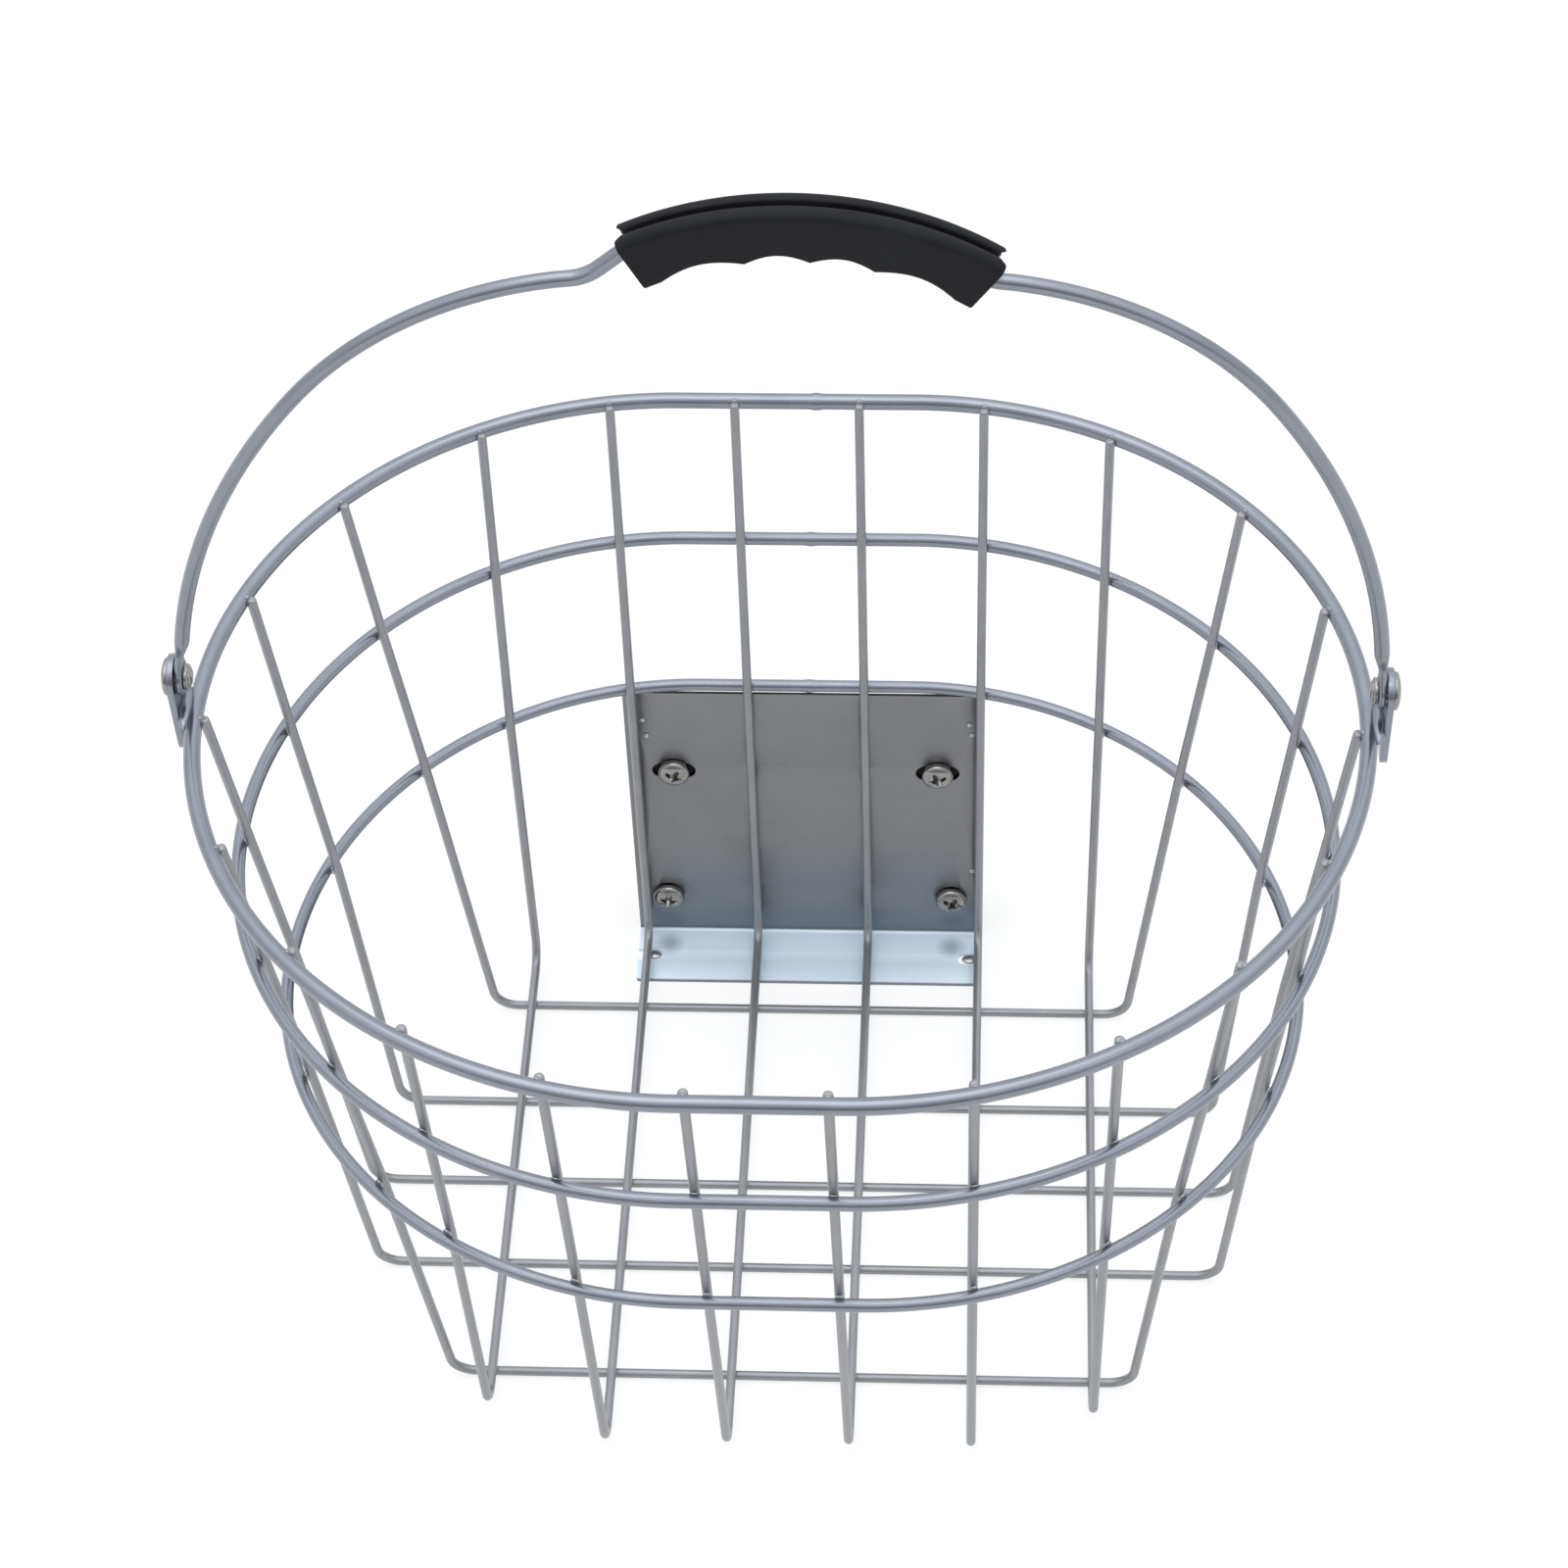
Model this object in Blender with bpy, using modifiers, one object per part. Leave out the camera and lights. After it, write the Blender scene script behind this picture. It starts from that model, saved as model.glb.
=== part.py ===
"""Wire bicycle basket with a swing-over carrying handle and a bolted handlebar adapter.

Metres, +Z up. +X is across the basket and +Y points at the handlebar, so the front is at -Y.
The origin is the middle of the underside of the middle cross wire, on which the basket stands.
"""

import math

import bmesh
import bpy
from mathutils import Matrix, Vector

# Gaps that separate pieces which touch on the real basket
SEAT_GAP = 0.0003
HOLE_CLEARANCE = 0.0003

# Rim: centre line of the top ring, a D-like oval with a straight back and a short straight front
RIM_WIRE = 0.0052
RIM_HEIGHT = 0.2564
RIM_HALF_WIDTH = 0.1750
RIM_BACK = 0.1218
RIM_FRONT = -0.1648
RIM_WIDEST_Y = -0.0170
RIM_FLAT_BACK = 0.0382
RIM_FLAT_FRONT = 0.0225

# Lower ring: the same kind of oval, drawn in because the front and sides lean out
LOWER_WIRE = 0.0042
LOWER_HEIGHT = 0.1276
LOWER_HALF_WIDTH = 0.1626
LOWER_BACK = 0.1192
LOWER_FRONT = -0.1395
LOWER_WIDEST_Y = -0.0102
LOWER_FLAT_BACK = 0.0360
LOWER_FLAT_FRONT = 0.0260

# Middle ring: follows the wall between the other two at its own height
MIDDLE_WIRE = 0.0044
MIDDLE_HEIGHT = 0.1963

# U wires that form the walls and the floor
BASKET_WIRE = 0.0031
WIRE_BEND_RADIUS = 0.0085
WIRE_ABOVE_RIM = 0.0022

# Long wires run front to back; the bends are half as many values because left and right match
LONG_WIRE_SPACING = 0.0400
LONG_WIRE_PAIRS = 3
LONG_INNER_BACK_BEND = 0.1133
LONG_INNER_FRONT_BEND = -0.1082
LONG_OUTER_BACK_BEND = 0.1005
LONG_OUTER_FRONT_BEND = -0.0945

# Cross wires run side to side under the long wires, mirrored front to back on the floor
END_CROSS_Y = 0.0792
END_CROSS_HALF_WIDTH = 0.1130
NEXT_CROSS_Y = 0.0350
NEXT_CROSS_HALF_WIDTH = 0.1425
MIDDLE_CROSS_HALF_WIDTH = 0.1481
CROSS_TOP_Y = (0.0702, 0.0280, -0.0228, -0.0739, -0.1127)

# Angle plate that stiffens the back and carries the handlebar adapter
PLATE_CENTRE_X = -0.0011
PLATE_THICKNESS = 0.0012
PLATE_HALF_WIDTH = 0.0625
PLATE_BEND_RADIUS = 0.0020
FLANGE_FRONT = 0.0922
FLANGE_ABOVE_GROUND = 0.0002
FLANGE_NOTCH_WIDTH = 0.0050
FLANGE_NOTCH_DEPTH = 0.0088
FLANGE_NOTCH_FROM_FRONT = 0.0118

# Screws that clamp the adapter to the plate, through slots in the plate
TOP_SCREW_OFFSET = 0.0463
TOP_SCREW_HEIGHT = 0.0862
BOTTOM_SCREW_OFFSET = 0.0512
BOTTOM_SCREW_HEIGHT = 0.0200
SCREW_SHANK = 0.0058
SCREW_HEAD = 0.0112
SCREW_HEAD_HEIGHT = 0.0036
SCREW_HEAD_EDGE = 0.0013
RECESS_WIDTH = 0.0011
RECESS_LENGTH = 0.0056
RECESS_DEPTH = 0.0018
SLOT_WIDTH = 0.0073
TOP_SLOT_LENGTH = 0.0153
BOTTOM_SLOT_LENGTH = 0.0125
NUT_FLATS = 0.0100
NUT_THICKNESS = 0.0050
SCREW_PAST_NUT = 0.0005
SCREW_TIP_CHAMFER = 0.0009

# Handlebar adapter: a moulded block with a T slot, open below, that drops over the bracket's rail
ADAPTER_HALF_WIDTH = 0.0595
ADAPTER_BOTTOM = 0.0080
ADAPTER_TOP = 0.0960
ADAPTER_DEPTH = 0.0220
ADAPTER_EDGE_RADIUS = 0.0020
SLOT_NECK_WIDTH = 0.0240
SLOT_NECK_DEPTH = 0.0060
SLOT_THROAT_WIDTH = 0.0360
SLOT_THROAT_DEPTH = 0.0060
SLOT_STOP_THICKNESS = 0.0140
NUT_POCKET_DEPTH = 0.0062

# Handle ears, welded outside the rim, and the rivets the handle swings on
PIVOT_ABOVE_RIM = 0.0133
EAR_STANDOFF = 0.0016
EAR_THICKNESS = 0.0020
EAR_EYE_RADIUS = 0.0070
EAR_FOOT_RADIUS = 0.0055
EAR_LENGTH = 0.0230
EAR_WELD_RADIUS = 0.0017
EAR_WELD_OFFSET = 0.0042
RIVET_SHANK = 0.0050
RIVET_HEAD = 0.0117
RIVET_HEAD_HEIGHT = 0.0021
RIVET_HEAD_EDGE = 0.0005
RIVET_TAIL = 0.0080
RIVET_TAIL_HEIGHT = 0.0021
RIVET_TAIL_EDGE = 0.0008

# Handle: one wire with flattened ends and a cranked middle inside the grip
BAIL_WIRE = 0.0046
BAIL_END_THICKNESS = 0.0022
BAIL_END_WIDTH = 0.0084
BAIL_END_RADIUS = 0.0055
BAIL_END_LENGTH = 0.0185
BAIL_WIRE_START = 0.0150
BAIL_SIDE_CENTRE_DROP = 0.0099
BAIL_SIDE_RADIUS = 0.1982
BAIL_SHOULDER_START = math.radians(37.9)
BAIL_SHOULDER_RADIUS = 0.1161
BAIL_SHOULDER_HALF_WIDTH = 0.0535
BAIL_CRANK_LENGTH = 0.0125
BAIL_CRANK_RISE = 0.0114
BAIL_CRANK_BEND_RADIUS = 0.0090
BAIL_CROWN_RADIUS = 0.0944
BAIL_SWAY = 0.0065

# Grip: a moulded channel that holds the handle's raised middle, open along its top
GRIP_DEPTH = 0.0112
GRIP_LENGTH = 0.1047
GRIP_HEIGHT = 0.0167
GRIP_LIP = 0.0025
GRIP_TILT = math.radians(4.0)
GRIP_SHIFT = 0.0005
GRIP_TOP_RADIUS = 0.0028
GRIP_LOWER_RADIUS = 0.0013
GRIP_SLIT_WIDTH = 0.0028
GRIP_FLOOR = 0.0036
GRIP_CUSP_SPACING = math.radians(12.0)
GRIP_GROOVE_DEPTH = 0.0022
GRIP_END_LAND = math.radians(3.5)

# How far cutters reach past the faces that they cut
CUTTER_PAST = 0.0020
CHANNEL_END_PAST = math.radians(4.0)

# Facets
WIRE_BEVEL_RESOLUTION = 2
WIRE_FACET_TURN = math.radians(22.5)
RING_POINTS = 88
BEND_POINTS = 5
ROUND_STEPS = 20
GRIP_POINTS = 19
GROOVE_POINTS = 8
SMOOTH_ANGLE = math.radians(35)

# Places that follow from the sizes above
WIRE_FLAT = 0.5 * BASKET_WIRE * math.cos(WIRE_FACET_TURN)
CROSS_WIRE_Z = WIRE_FLAT
LONG_WIRE_Z = CROSS_WIRE_Z + BASKET_WIRE + SEAT_GAP
PLATE_TOP = LOWER_HEIGHT - 0.5 * LOWER_WIRE - SEAT_GAP
PIVOT_Y = RIM_WIDEST_Y
PIVOT_Z = RIM_HEIGHT + PIVOT_ABOVE_RIM
EAR_INNER_X = RIM_HALF_WIDTH + 0.5 * RIM_WIRE + EAR_STANDOFF
BAIL_END_X = EAR_INNER_X - SEAT_GAP - 0.5 * BAIL_END_THICKNESS


def new_collection(name):
    collection = bpy.data.collections.new(name)
    bpy.context.scene.collection.children.link(collection)
    return collection


def new_material(name, colour, metallic, roughness):
    material = bpy.data.materials.new(name)
    material.use_nodes = True
    shader = material.node_tree.nodes["Principled BSDF"]
    shader.inputs["Base Color"].default_value = (*colour, 1.0)
    shader.inputs["Metallic"].default_value = metallic
    shader.inputs["Roughness"].default_value = roughness
    material.diffuse_color = (*colour, 1.0)
    return material


def add_object(name, data, collection, material=None, parent=None):
    thing = bpy.data.objects.new(name, data)
    collection.objects.link(thing)
    if material:
        data.materials.append(material)
    if parent:
        thing.parent = parent
    return thing


def modify(thing, kind, **settings):
    modifier = thing.modifiers.new(kind.title(), kind)
    for key, value in settings.items():
        setattr(modifier, key, value)
    return modifier


def curve_data(name, outlines, cyclic, dimensions):
    data = bpy.data.curves.new(name, "CURVE")
    data.dimensions = dimensions
    for outline in outlines:
        spline = data.splines.new("POLY")
        spline.points.add(len(outline) - 1)
        for point, place in zip(spline.points, outline):
            point.co = (*place, 1.0) if len(place) == 3 else (*place, 0.0, 1.0)
        spline.use_cyclic_u = cyclic
        spline.use_smooth = True
    return data


def wire(
    name, points, diameter, collection, material, cyclic=False, flat_below=False, parent=None
):
    """A round wire along the points, faceted; flat_below turns a facet downwards on level stretches."""
    data = curve_data(name, [points], cyclic, "3D")
    data.bevel_depth = 0.5 * diameter
    data.bevel_resolution = WIRE_BEVEL_RESOLUTION
    data.use_fill_caps = True
    if flat_below:
        data.twist_mode = "Z_UP"
        for point in data.splines[0].points:
            point.tilt = WIRE_FACET_TURN
    return add_object(name, data, collection, material, parent)


def slab(name, outlines, thickness, collection, material=None, parent=None):
    """A flat piece from closed outlines in its local XY plane, holes too, centred on that plane."""
    data = curve_data(name, outlines, True, "2D")
    data.fill_mode = "BOTH"
    data.extrude = 0.5 * thickness
    return add_object(name, data, collection, material, parent)


def as_mesh(thing):
    """The same piece as a mesh object in the curve's place, closed, so that it takes Booleans."""
    bpy.context.view_layer.update()
    evaluated = thing.evaluated_get(bpy.context.evaluated_depsgraph_get())
    data = bpy.data.meshes.new_from_object(evaluated)
    name = thing.name
    matrix = thing.matrix_world.copy()
    parent = thing.parent
    collection = thing.users_collection[0]
    shape = bmesh.new()
    shape.from_mesh(data)
    bmesh.ops.remove_doubles(shape, verts=shape.verts, dist=1e-6)
    bmesh.ops.recalc_face_normals(shape, faces=shape.faces)
    shape.to_mesh(data)
    shape.free()
    bpy.data.objects.remove(thing)
    solid = bpy.data.objects.new(name, data)
    collection.objects.link(solid)
    solid.parent = parent
    bpy.context.view_layer.update()
    solid.matrix_world = matrix
    return solid


def box(name, low, high, collection, material=None, parent=None):
    """A box between two corners, its origin at its own middle."""
    low = Vector(low)
    high = Vector(high)
    shape = bmesh.new()
    bmesh.ops.create_cube(shape, size=1.0)
    bmesh.ops.scale(shape, vec=high - low, verts=shape.verts)
    data = bpy.data.meshes.new(name)
    shape.to_mesh(data)
    shape.free()
    thing = add_object(name, data, collection, material, parent)
    thing.location = 0.5 * (low + high)
    return thing


def cylinder(name, radius, start, end, collection, material=None, sides=ROUND_STEPS):
    """A round bar between two points, its origin at its own middle."""
    start = Vector(start)
    end = Vector(end)
    shape = bmesh.new()
    length = (end - start).length
    bmesh.ops.create_cone(
        shape, cap_ends=True, segments=sides, radius1=radius, radius2=radius, depth=length
    )
    data = bpy.data.meshes.new(name)
    shape.to_mesh(data)
    shape.free()
    thing = add_object(name, data, collection, material)
    thing.rotation_euler = (end - start).to_track_quat("Z", "Y").to_euler()
    thing.location = 0.5 * (start + end)
    return thing


def turned(name, profile, collection, material):
    """A piece turned about its local Z from a profile that runs down its outer side, top to bottom."""
    data = bpy.data.meshes.new(name)
    places = [(radius, 0.0, height) for radius, height in profile]
    data.from_pydata(places, [(i, i + 1) for i in range(len(places) - 1)], [])
    thing = add_object(name, data, collection, material)
    modify(
        thing,
        "SCREW",
        steps=ROUND_STEPS,
        render_steps=ROUND_STEPS,
        use_merge_vertices=True,
        merge_threshold=1e-6,
    )
    return thing


def combine(thing, tool, operation):
    tool.hide_render = True
    tool.display_type = "WIRE"
    modify(thing, "BOOLEAN", operation=operation, object=tool, solver="EXACT")


def smooth(thing):
    thing.data.shade_smooth()
    thing.data.set_sharp_from_angle(angle=SMOOTH_ANGLE)


def even(start, end, count):
    """Evenly spaced values, both ends included."""
    return [start + (end - start) * i / (count - 1) for i in range(count)]


def arc(centre, radius, start, end, count):
    """Points on an arc in a plane, both ends included."""
    angles = even(start, end, count)
    return [(centre[0] + radius * math.cos(a), centre[1] + radius * math.sin(a)) for a in angles]


def circle(centre, radius, count=ROUND_STEPS):
    return arc(centre, radius, 0.0, 2 * math.pi, count + 1)[:-1]


def rounded_path(corners, radii, count=BEND_POINTS):
    """The corner points with an arc of its own radius at each corner; radius 0 keeps a corner."""
    path = [Vector(corners[0])]
    for before, corner, after, radius in zip(corners, corners[1:], corners[2:], radii[1:]):
        corner = Vector(corner)
        back = (Vector(before) - corner).normalized()
        ahead = (Vector(after) - corner).normalized()
        turn = math.pi - back.angle(ahead)
        if radius == 0 or turn < 1e-4:
            path.append(corner)
            continue
        inward = (back + ahead).normalized()
        centre = corner + inward * radius / math.cos(0.5 * turn)
        reach = radius * math.tan(0.5 * turn)
        first = corner + back * reach - centre
        last = corner + ahead * reach - centre
        for i in range(count):
            share = i / (count - 1)
            weights = math.sin((1 - share) * turn), math.sin(share * turn)
            path.append(centre + (first * weights[0] + last * weights[1]) / math.sin(turn))
    path.append(Vector(corners[-1]))
    return path


def hexagon(across_flats):
    return circle((0, 0), 0.5 * across_flats / math.cos(math.pi / 6), 6)


def dome(radius, height, edge, count=6):
    """Profile of a domed head from its top down to its rim, above a straight edge."""
    angles = even(0.0, 0.5 * math.pi, count)
    return [(radius * math.sin(a), edge + (height - edge) * math.cos(a)) for a in angles]


def stadium(centre, length, width, upright, count=9):
    """A slot outline with round ends, along Y when upright and along X when not."""
    reach = 0.5 * (length - width)
    along = Vector((0, reach)) if upright else Vector((reach, 0))
    start = 0.0 if upright else -0.5 * math.pi
    first = arc(Vector(centre) + along, 0.5 * width, start, start + math.pi, count)
    second = arc(Vector(centre) - along, 0.5 * width, start + math.pi, start + 2 * math.pi, count)
    return first + second


def tapered_stadium(top_radius, foot_radius, length, count=11):
    """Two circles and their common tangents: the top one at the origin, the other `length` below it."""
    lean = math.asin((top_radius - foot_radius) / length)
    top = arc((0, 0), top_radius, -lean, math.pi + lean, count)
    foot = arc((0, -length), foot_radius, math.pi + lean, 2 * math.pi - lean, count)
    return top + foot


def ring_sizes(height):
    """Half width, back, front, widest y and the two straight half lengths of the wall at a height."""
    share = (height - LOWER_HEIGHT) / (RIM_HEIGHT - LOWER_HEIGHT)
    pairs = (
        (LOWER_HALF_WIDTH, RIM_HALF_WIDTH),
        (LOWER_BACK, RIM_BACK),
        (LOWER_FRONT, RIM_FRONT),
        (LOWER_WIDEST_Y, RIM_WIDEST_Y),
        (LOWER_FLAT_BACK, RIM_FLAT_BACK),
        (LOWER_FLAT_FRONT, RIM_FLAT_FRONT),
    )
    return [low + share * (high - low) for low, high in pairs]


def oval_point(height, angle, inset=0.0):
    """Right half of the oval: angle 90 degrees at the back, 0 at the widest place, -90 at the front."""
    half_width, back, front, widest, flat_back, flat_front = ring_sizes(height)
    flat = flat_back if angle >= 0 else flat_front
    reach_x = half_width - flat
    reach_y = back - widest if angle >= 0 else widest - front
    normal = Vector((math.cos(angle) / reach_x, math.sin(angle) / reach_y)).normalized()
    place = Vector((flat + reach_x * math.cos(angle), widest + reach_y * math.sin(angle)))
    return place - inset * normal


def oval(height, count=RING_POINTS):
    """Closed outline of a ring, evenly divided in angle on each half, ending on the centre plane."""
    half = [oval_point(height, math.pi * (0.5 - i / (count // 2 - 1))) for i in range(count // 2)]
    return [(p.x, p.y, height) for p in half] + [(-p.x, p.y, height) for p in reversed(half)]


def wall_point(height, inset, x=None, y=None, front=False):
    """The place inside the oval, an inset away from it, that has the given x or the given y."""
    low, high = (-0.5 * math.pi, 0.0) if front else (0.0, 0.5 * math.pi)
    if y is not None:
        low, high = -0.5 * math.pi, 0.5 * math.pi
    edge = oval_point(height, low if front else high, inset)
    if x is not None and abs(x) <= edge.x:
        return Vector((x, edge.y))
    for _ in range(50):
        middle = 0.5 * (low + high)
        place = oval_point(height, middle, inset)
        if y is not None:
            go_up = place.y < y
        else:
            go_up = (place.x > abs(x)) != front
        if go_up:
            low = middle
        else:
            high = middle
    return Vector((math.copysign(place.x, x), place.y)) if x is not None else place


SIDES = ((-1, "left"), (1, "right"))

RINGS = (
    ("lower_ring", LOWER_HEIGHT, LOWER_WIRE),
    ("middle_ring", MIDDLE_HEIGHT, MIDDLE_WIRE),
    ("rim_ring", RIM_HEIGHT, RIM_WIRE),
)


def ring_inset(ring_wire, lean):
    """Level distance between the centre lines of a ring and of the leaning wall wire inside it."""
    return (0.5 * (ring_wire + BASKET_WIRE) + SEAT_GAP) / math.cos(lean)


def wall_lean(bottom, top):
    """Angle between the wall and the vertical for a level run from the floor bend to the rim."""
    return math.atan2(abs(top - bottom), RIM_HEIGHT)


def make_rings(parts, steel):
    for name, height, diameter in RINGS:
        wire(name, oval(height), diameter, parts, steel, cyclic=True)


def long_wire_wall(x, bend, front):
    """Wall stretch of a long wire from its floor bend up to its end beside the rim."""
    edge = RIM_FRONT if front else RIM_BACK
    lean = wall_lean(bend, edge)
    places = []
    for _, height, diameter in RINGS:
        place = wall_point(height, ring_inset(diameter, lean), x=x, front=front)
        places.append(Vector((place.x, place.y, height)))
    slope = (places[-1] - places[-2]).normalized()
    places.append(places[-1] + slope * WIRE_ABOVE_RIM)
    return places


def make_long_wires(parts, steel):
    count = 2 * LONG_WIRE_PAIRS
    for i in range(count):
        x = (i - 0.5 * (count - 1)) * LONG_WIRE_SPACING
        outer = i in (0, count - 1)
        back_bend = LONG_OUTER_BACK_BEND if outer else LONG_INNER_BACK_BEND
        front_bend = LONG_OUTER_FRONT_BEND if outer else LONG_INNER_FRONT_BEND
        back = long_wire_wall(x, back_bend, front=False)[::-1]
        front = long_wire_wall(x, front_bend, front=True)
        floor = [Vector((x, back_bend, LONG_WIRE_Z)), Vector((x, front_bend, LONG_WIRE_Z))]
        radii = [0] * len(back) + [WIRE_BEND_RADIUS] * 2 + [0] * len(front)
        path = rounded_path(back + floor + front, radii)
        wire(f"long_wire_{i + 1}", path, BASKET_WIRE, parts, steel)


def cross_wire_wall(floor_y, half_width, top_y):
    """Right wall stretch of a cross wire, drawn towards its own place on the rim."""
    lean = wall_lean(half_width, oval_point(RIM_HEIGHT, 0.0).x)
    places = []
    for _, height, diameter in RINGS:
        y = floor_y + (top_y - floor_y) * height / RIM_HEIGHT
        place = wall_point(height, ring_inset(diameter, lean), y=y)
        places.append(Vector((place.x, place.y, height)))
    slope = (places[-1] - places[-2]).normalized()
    places.append(places[-1] + slope * WIRE_ABOVE_RIM)
    return places


def make_cross_wires(parts, steel):
    floor = (
        (END_CROSS_Y, END_CROSS_HALF_WIDTH),
        (NEXT_CROSS_Y, NEXT_CROSS_HALF_WIDTH),
        (0.0, MIDDLE_CROSS_HALF_WIDTH),
        (-NEXT_CROSS_Y, NEXT_CROSS_HALF_WIDTH),
        (-END_CROSS_Y, END_CROSS_HALF_WIDTH),
    )
    for i, ((floor_y, half_width), top_y) in enumerate(zip(floor, CROSS_TOP_Y)):
        right = cross_wire_wall(floor_y, half_width, top_y)
        left = [Vector((-p.x, p.y, p.z)) for p in reversed(right)]
        bends = [Vector((side * half_width, floor_y, CROSS_WIRE_Z)) for side in (-1, 1)]
        radii = [0] * len(left) + [WIRE_BEND_RADIUS] * 2 + [0] * len(right)
        path = rounded_path(left + bends + right, radii)
        wire(f"cross_wire_{i + 1}", path, BASKET_WIRE, parts, steel, flat_below=True)


def plate_front_y():
    """The plate stands just behind the long wires, clear of them up to its top edge."""
    lean = wall_lean(LONG_INNER_BACK_BEND, RIM_BACK)
    ring = wall_point(LOWER_HEIGHT, ring_inset(LOWER_WIRE, lean), x=0.0)
    return max(ring.y, LONG_INNER_BACK_BEND) + 0.5 * BASKET_WIRE + SEAT_GAP


def screw_places():
    """Name, x, height and whether the screw is a top one."""
    places = []
    for sign, side in SIDES:
        top_x = PLATE_CENTRE_X + sign * TOP_SCREW_OFFSET
        bottom_x = PLATE_CENTRE_X + sign * BOTTOM_SCREW_OFFSET
        places.append((f"top_{side}", top_x, TOP_SCREW_HEIGHT, True))
        places.append((f"bottom_{side}", bottom_x, BOTTOM_SCREW_HEIGHT, False))
    return places


def make_plate(parts, cutters, steel):
    """Sheet bent to an L: upright behind the long wires, flange forward below them."""
    front = plate_front_y()
    mid_y = front + 0.5 * PLATE_THICKNESS
    mid_z = FLANGE_ABOVE_GROUND + 0.5 * PLATE_THICKNESS
    bend = PLATE_BEND_RADIUS + 0.5 * PLATE_THICKNESS
    corners = [(mid_y, PLATE_TOP, 0), (mid_y, mid_z, 0), (FLANGE_FRONT, mid_z, 0)]
    centre = rounded_path(corners, [0, bend, 0])
    outline = offset_outline([(p.x, p.y) for p in centre], 0.5 * PLATE_THICKNESS)
    plate = slab("mounting_plate", [outline], 2 * PLATE_HALF_WIDTH, parts, steel)
    plate.matrix_world = Matrix(((0, 0, 1, PLATE_CENTRE_X), (1, 0, 0, 0), (0, 1, 0, 0), (0, 0, 0, 1)))
    plate = as_mesh(plate)
    for name, x, height, top in screw_places():
        length = TOP_SLOT_LENGTH if top else BOTTOM_SLOT_LENGTH
        outline = stadium((0, 0), length, SLOT_WIDTH, not top)
        hole = slab(f"slot_{name}", [outline], PLATE_THICKNESS + 2 * CUTTER_PAST, cutters)
        hole.rotation_euler = (0.5 * math.pi, 0, 0)
        hole.location = (x, mid_y, height)
        combine(plate, as_mesh(hole), "DIFFERENCE")
    notch_y = FLANGE_FRONT + FLANGE_NOTCH_FROM_FRONT
    for side, label in SIDES:
        outline = stadium((0, 0), 2 * FLANGE_NOTCH_DEPTH, FLANGE_NOTCH_WIDTH, False)
        notch = slab(f"notch_{label}", [outline], PLATE_THICKNESS + 2 * CUTTER_PAST, cutters)
        notch.location = (PLATE_CENTRE_X + side * PLATE_HALF_WIDTH, notch_y, mid_z)
        combine(plate, as_mesh(notch), "DIFFERENCE")
    smooth(plate)


def offset_outline(centre, half):
    """Closed outline of a strip of constant thickness along a line of points."""
    line = [Vector(p) for p in centre]
    left = []
    right = []
    for i, point in enumerate(line):
        before = (point - line[i - 1]).normalized() if i else None
        after = (line[i + 1] - point).normalized() if i < len(line) - 1 else None
        before = before or after
        after = after or before
        along = (before + after).normalized()
        side = Vector((-along.y, along.x)) * half / along.dot(after)
        left.append(point + side)
        right.append(point - side)
    return [(p.x, p.y) for p in left + right[::-1]]


def adapter_front_y():
    return plate_front_y() + PLATE_THICKNESS + SEAT_GAP


def nut_front_y():
    """Front face of the nuts, on the floor of their pockets in the adapter's back."""
    return adapter_front_y() + ADAPTER_DEPTH - NUT_POCKET_DEPTH + SEAT_GAP


def make_adapter(parts, cutters, plastic):
    front = adapter_front_y()
    back = front + ADAPTER_DEPTH
    low = (PLATE_CENTRE_X - ADAPTER_HALF_WIDTH, front, ADAPTER_BOTTOM)
    high = (PLATE_CENTRE_X + ADAPTER_HALF_WIDTH, back, ADAPTER_TOP)
    adapter = box("bracket_adapter", low, high, parts, plastic)
    modify(adapter, "BEVEL", width=ADAPTER_EDGE_RADIUS, segments=2, limit_method="ANGLE")
    stop = ADAPTER_TOP - SLOT_STOP_THICKNESS
    bottom = ADAPTER_BOTTOM - CUTTER_PAST
    throat_back = back - SLOT_NECK_DEPTH
    neck = box(
        "slot_neck",
        (PLATE_CENTRE_X - 0.5 * SLOT_NECK_WIDTH, throat_back - CUTTER_PAST, bottom),
        (PLATE_CENTRE_X + 0.5 * SLOT_NECK_WIDTH, back + CUTTER_PAST, stop),
        cutters,
    )
    throat = box(
        "slot_throat",
        (PLATE_CENTRE_X - 0.5 * SLOT_THROAT_WIDTH, throat_back - SLOT_THROAT_DEPTH, bottom),
        (PLATE_CENTRE_X + 0.5 * SLOT_THROAT_WIDTH, throat_back, stop),
        cutters,
    )
    combine(adapter, neck, "DIFFERENCE")
    combine(adapter, throat, "DIFFERENCE")
    for name, x, height, _ in screw_places():
        radius = 0.5 * SCREW_SHANK + HOLE_CLEARANCE
        start = (x, front - CUTTER_PAST, height)
        end = (x, back + CUTTER_PAST, height)
        combine(adapter, cylinder(f"bore_{name}", radius, start, end, cutters), "DIFFERENCE")
        outline = hexagon(NUT_FLATS + 2 * HOLE_CLEARANCE)
        pocket = slab(f"pocket_{name}", [outline], NUT_POCKET_DEPTH + CUTTER_PAST, cutters)
        pocket.rotation_euler = (0.5 * math.pi, 0, 0)
        pocket.location = (x, back + 0.5 * (CUTTER_PAST - NUT_POCKET_DEPTH), height)
        combine(adapter, as_mesh(pocket), "DIFFERENCE")
    smooth(adapter)


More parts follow.
